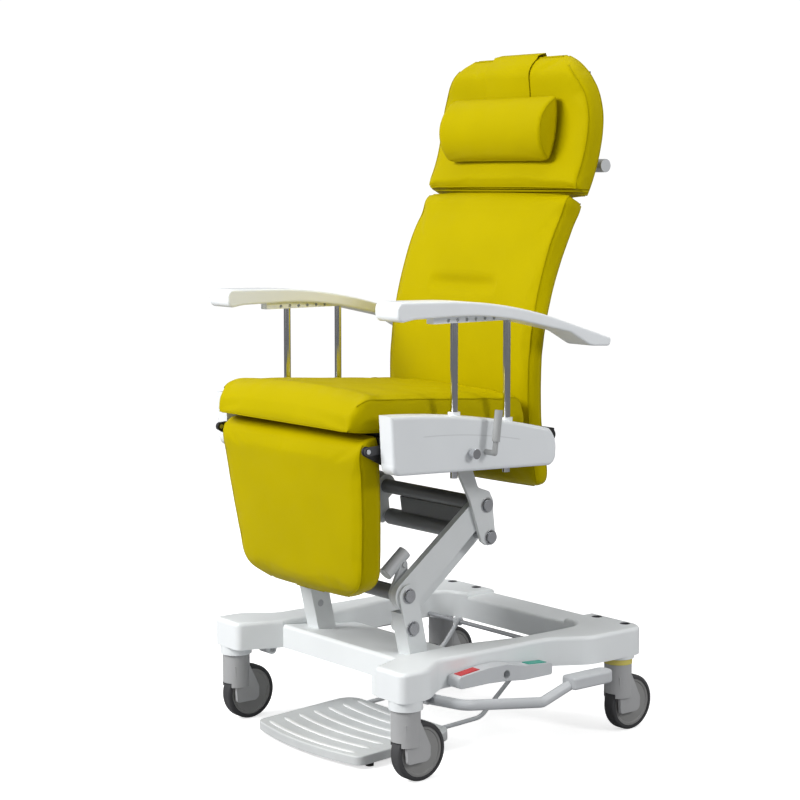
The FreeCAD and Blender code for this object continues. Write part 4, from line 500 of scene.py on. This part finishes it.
def cord_along(name, runs, onto, body, surface):
    """Sewn piping: a thin tube laid on a pad along its runs."""
    mesh = onto.data
    tree = BVHTree.FromPolygons([v.co for v in mesh.vertices], [p.vertices for p in mesh.polygons])
    curve = bpy.data.curves.new(name, "CURVE")
    curve.dimensions = "3D"
    curve.bevel_depth = PIPING_RADIUS
    curve.bevel_resolution = 3
    for run in runs:
        length = sum((b - a).length for a, b in zip(run, run[1:]))
        if length < SHORT_RUN:
            continue
        count = max(PIPING_LEAST, int(length / PIPING_SPACING))
        spots, gone, wanted = [], 0.0, 0.0
        for a, b in zip(run, run[1:]):
            part = (b - a).length
            while wanted <= gone + part and part > 0:
                spots.append(a.lerp(b, (wanted - gone) / part))
                wanted += length / count
            gone += part
        laid = []
        for spot in spots:
            place, normal, *_ = tree.find_nearest(spot)
            laid.append(place + normal * PIPING_RADIUS * PIPING_SINK)
        for _ in range(PIPING_PASSES):
            inner = [(before + here * 2 + after) / 4 for before, here, after in zip(laid, laid[1:], laid[2:])]
            laid = [laid[0], *inner, laid[-1]]
        spline = curve.splines.new("POLY")
        spline.points.add(len(laid) - 1)
        for point, place in zip(spline.points, laid):
            point.co = (*place, 1)
    obj = show(name, curve)
    curve.materials.append(surface.material)
    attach(obj, body)


REAR = Vector((0, 1, 0))
DOWN = Vector((0, 0, -1))

# The tuck of the back and the hanging edge of the headrest
TUCK_HALF = 118 * MM
TUCK_HEIGHT = 1005 * MM
TUCK_SPREAD = 16 * MM
TUCK_DEPTH = 11 * MM
TUCK_FACING = -0.3
EDGE_HALF = 250 * MM
EDGE_START = 1232 * MM
EDGE_REACH = 36 * MM
EDGE_DROP = 8.5 * MM


def lumbar_tuck(spots, ways):
    """A short stitched hollow across the middle of the back."""
    across = np.clip(1.0 - (np.abs(spots[:, 0]) / TUCK_HALF) ** 6, 0.0, 1.0) * (ways[:, 1] < TUCK_FACING)
    away = (spots[:, 2] - TUCK_HEIGHT) / TUCK_SPREAD
    return spots - ways * (TUCK_DEPTH * across * np.exp(-away * away))[:, None]


def full_edge(spots, _ways):
    """The lower edge of the headrest hangs a little lower towards its middle."""
    across = np.clip(1.0 - (spots[:, 0] / EDGE_HALF) ** 2, 0.0, 1.0)
    near = np.clip((EDGE_START - spots[:, 2]) / EDGE_REACH, 0.0, 1.0)
    drop = EDGE_DROP * across * near * near * (3 - 2 * near)
    return spots + drop[:, None] * np.array(DOWN)


PADS = [
    ("seat_cushion", "seat_carriage", DOWN, VINYL, {}),
    ("back_cushion", "backrest", REAR, VINYL, {"shape": lumbar_tuck}),
    ("head_cushion", "headrest", REAR, VINYL_HEAD, {"shape": full_edge}),
    ("leg_cushion", "legrest", REAR, VINYL, {"cap": 3.0, "shrink": 1.0}),
    ("neck_pillow", "neck_pillow", REAR, VINYL, {"voxel": 4.0, "cap": 3.0, "shrink": 1.0}),
]
for node_name, body_name, back_way, surface, options in PADS:
    pad, seam_runs = upholster(node_name, body_name, back_way, surface, **options)
    cord_along("piping_" + node_name, seam_runs, pad, body_name, SHADED_PIPING)


def strap():
    """A soft band over the headrest with rounded edges."""
    obj = clean_copy("soft_pillow_strap", "pillow_strap")
    bevel = obj.modifiers.new("edge", "BEVEL")
    bevel.width = STRAP_EDGE
    bevel.segments = 2
    bake(obj)
    smooth(obj.data)
    paint(obj, VINYL)
    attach(obj, "headrest")
    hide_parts("pillow_strap")


strap()


# Small fittings

def piece(name, verts, faces, surface, body):
    """A smooth new object of a body, made from points and faces."""
    mesh = bpy.data.meshes.new(name)
    mesh.from_pydata(verts, [], faces)
    mesh.validate()
    work = bmesh.new()
    work.from_mesh(mesh)
    bmesh.ops.recalc_face_normals(work, faces=work.faces)
    work.to_mesh(mesh)
    work.free()
    smooth(mesh)
    obj = show(name, mesh)
    paint(obj, surface)
    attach(obj, body)


def turned(name, profile, centre, axis, surface, body, count=40):
    """A closed ring or cap turned from (along, radius) points about an axis."""
    axis = Vector(axis).normalized()
    side = axis.orthogonal().normalized()
    other = axis.cross(side)
    verts, faces = [], []
    for i in range(count):
        angle = 2 * math.pi * i / count
        spoke = side * math.cos(angle) + other * math.sin(angle)
        verts += [Vector(centre) * MM + axis * along * MM + spoke * radius * MM for along, radius in profile]
    size = len(profile)
    for i in range(count):
        for k in range(size):
            a, b = i * size + k, i * size + (k + 1) % size
            c, d = ((i + 1) % count) * size + (k + 1) % size, ((i + 1) % count) * size + k
            faces.append((a, b, c, d))
    piece(name, verts, faces, surface, body)


# The step, its treads and the lift, in millimetres and degrees
STEP_SLOPE = 2.6
STEP_BOW = 24.5
STEP_HALF = 188
STEP_TOP = 30
TREADS = 7
TREAD_SPANS = 24
TREAD_HALF = 158
TREAD_LESS = 3
TREAD_LEAD = 20
TREAD_MARGIN = 52
TREAD_END = 8
TREAD_END_SHARE = 0.25
LIFT_Y = -199
LIFT_Z = 356
LEVER_LENGTH = 278
LEVER_ANGLE = 38.7
PIVOT_SPACING = 73
PIVOT_LEAN = 8.7


def step_ribs():
    """Bowed treads across the step, each a low rounded bar."""
    low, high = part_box("step_plate")
    front, depth = low[1] / MM, (high[1] - low[1]) / MM
    slope, bow = math.tan(math.radians(STEP_SLOPE)), STEP_BOW / STEP_HALF ** 2
    section = [(-5.5, -0.4), (-4.8, 1.3), (-3.4, 1.9), (3.4, 1.9), (4.8, 1.3), (5.5, -0.4)]
    verts, faces = [], []
    size = len(section)
    for rib in range(TREADS):
        middle = front + TREAD_LEAD + (depth - TREAD_MARGIN) * rib / (TREADS - 1)
        half = TREAD_HALF - TREAD_LESS * rib
        first = len(verts)
        for i in range(TREAD_SPANS + 1):
            x = -half + 2 * half * i / TREAD_SPANS
            ease = min(1.0, (half - abs(x)) / TREAD_END + TREAD_END_SHARE)
            for across, up in section:
                y = middle + bow * x * x + across * ease
                level = STEP_TOP + (y - front - STEP_BOW) * slope
                verts.append(Vector((x, y, level + up * ease)) * MM)
        for i in range(TREAD_SPANS):
            for k in range(size):
                a, b = first + i * size + k, first + i * size + (k + 1) % size
                faces.append((a, b, b + size, a + size))
        faces.append(tuple(first + k for k in range(size)))
        faces.append(tuple(first + TREAD_SPANS * size + k for k in range(size)))
    # the treads take the paler painted-light tread colour
    piece("step_treads", verts, faces, LIT_STEP_TREAD, "step")


def washers():
    """Broad washers under the caps of the lift pivots."""
    ring = [(-0.2, 13.0), (-0.2, 17.0), (1.2, 17.0), (1.6, 16.4), (1.6, 13.0)]
    lean, angle = math.radians(PIVOT_LEAN), math.radians(LEVER_ANGLE)
    lower = Vector((0, LIFT_Y, LIFT_Z))
    upper = lower + Vector((0, math.cos(angle), math.sin(angle))) * LEVER_LENGTH
    drop = Vector((0, math.sin(lean), -math.cos(lean))) * PIVOT_SPACING
    brackets = (("lift_bracket_", "base", lower), ("upper_bracket_", "seat_carriage", upper))
    for tag, side in (("left", 1), ("right", -1)):
        for node, body, pivot in brackets:
            low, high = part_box(node + tag)
            outer = max(abs(low[0]), abs(high[0])) / MM
            for spot in (pivot, pivot + drop):
                centre = (side * outer, spot.y, spot.z)
                turned(f"washer_{body}_{tag}_{spot.z:.0f}", ring, centre, (side, 0, 0), STEEL, body)


step_ribs()
washers()


# Camera, floor and light

CAMERA_AZIMUTH = 51.06
CAMERA_PITCH = 6.42
CAMERA_LENS = 87.85
CAMERA_PLACE = Vector((3.3473, -2.7782, 1.2352))
FLOOR_REACH = 14.0
FLOOR_SEEN = (0.8, 0.8, 0.8)
FLOOR_LIT = (0.34, 0.34, 0.35)
FLOOR_GLOW = 0.66
BANDS = 7.0
BAND_EDGE = 0.35
BAND_DARK = 0.06
BAND_BRIGHT = 0.6
LIGHT_LEVEL = 0.46
SEEN_LEVEL = 1.05


def camera():
    azimuth, pitch = math.radians(CAMERA_AZIMUTH), math.radians(CAMERA_PITCH)
    level = math.cos(pitch)
    ahead = Vector((-math.sin(azimuth) * level, math.cos(azimuth) * level, -math.sin(pitch)))
    right = Vector((math.cos(azimuth), math.sin(azimuth), 0))
    up = right.cross(ahead)
    data = bpy.data.cameras.new("camera")
    data.sensor_width = 36
    data.lens = CAMERA_LENS
    data.clip_end = 60
    obj = show("camera", data)
    turn = Matrix((right, up, -ahead)).transposed().to_4x4()
    obj.matrix_world = Matrix.Translation(CAMERA_PLACE) @ turn
    bpy.context.scene.camera = obj


def area(name, place, aim, size, power):
    data = bpy.data.lights.new(name, "AREA")
    data.shape = "RECTANGLE"
    data.size, data.size_y = size
    data.energy = power
    obj = show(name, data)
    obj.location = place
    obj.rotation_euler = (Vector(aim) - Vector(place)).to_track_quat("-Z", "Y").to_euler()


def floor():
    """A pale floor that shows white around a soft shadow and throws little light back up."""
    mesh = bpy.data.meshes.new("floor")
    corners = [(x * FLOOR_REACH, y * FLOOR_REACH, 0) for x, y in ((-1, -1), (1, -1), (1, 1), (-1, 1))]
    mesh.from_pydata(corners, [], [(0, 1, 2, 3)])
    obj = show("floor", mesh)
    m = Surface("floor_pale", FLOOR_SEEN, rough=0.9)
    seen = m.add("ShaderNodeLightPath").outputs["Is Camera Ray"]
    m.put(m.mix(seen, FLOOR_LIT, FLOOR_SEEN), m.bsdf.inputs["Base Color"])
    m.bsdf.inputs["Specular IOR Level"].default_value = 0.0
    m.bsdf.inputs["Emission Color"].default_value = (1, 1, 1, 1)
    m.put(m.math("MULTIPLY", seen, FLOOR_GLOW), m.bsdf.inputs["Emission Strength"])
    paint(obj, m)


def surroundings():
    """White to the eye, even for light, banded dark and bright for mirror reflections."""
    world = bpy.data.worlds.new("studio")
    bpy.context.scene.world = world
    world.use_nodes = True
    n = Nodes(world.node_tree)
    background = n.tree.nodes["Background"]
    path = n.add("ShaderNodeLightPath")
    split = n.add("ShaderNodeSeparateXYZ")
    n.put(n.add("ShaderNodeTexCoord").outputs["Generated"], split.inputs["Vector"])
    turn = n.math("ARCTAN2", split.outputs["Y"], split.outputs["X"])
    wave = n.math("SINE", n.math("MULTIPLY", turn, BANDS))
    bands = n.remap(wave, -BAND_EDGE, BAND_EDGE, BAND_DARK, BAND_BRIGHT)
    even = n.remap(path.outputs["Is Camera Ray"], 0.0, 1.0, LIGHT_LEVEL, SEEN_LEVEL)
    choice = n.add("ShaderNodeMix")
    for source, key in ((path.outputs["Is Glossy Ray"], "Factor"), (even, "A"), (bands, "B")):
        n.put(source, choice.inputs[key])
    n.put(choice.outputs["Result"], background.inputs["Strength"])
    background.inputs["Color"].default_value = (1, 1, 1, 1)


camera()
floor()
surroundings()
area("key", place=(-0.9, -3.9, 3.1), aim=(0, 0, 0.8), size=(2.4, 2.0), power=205)
area("fill", place=(3.6, 1.3, 2.3), aim=(0, 0, 0.7), size=(0.8, 0.8), power=44)
area("top", place=(0.2, 0.6, 4.0), aim=(0, 0, 0.6), size=(3.0, 3.0), power=34)
bpy.context.scene.view_settings.view_transform = "Standard"
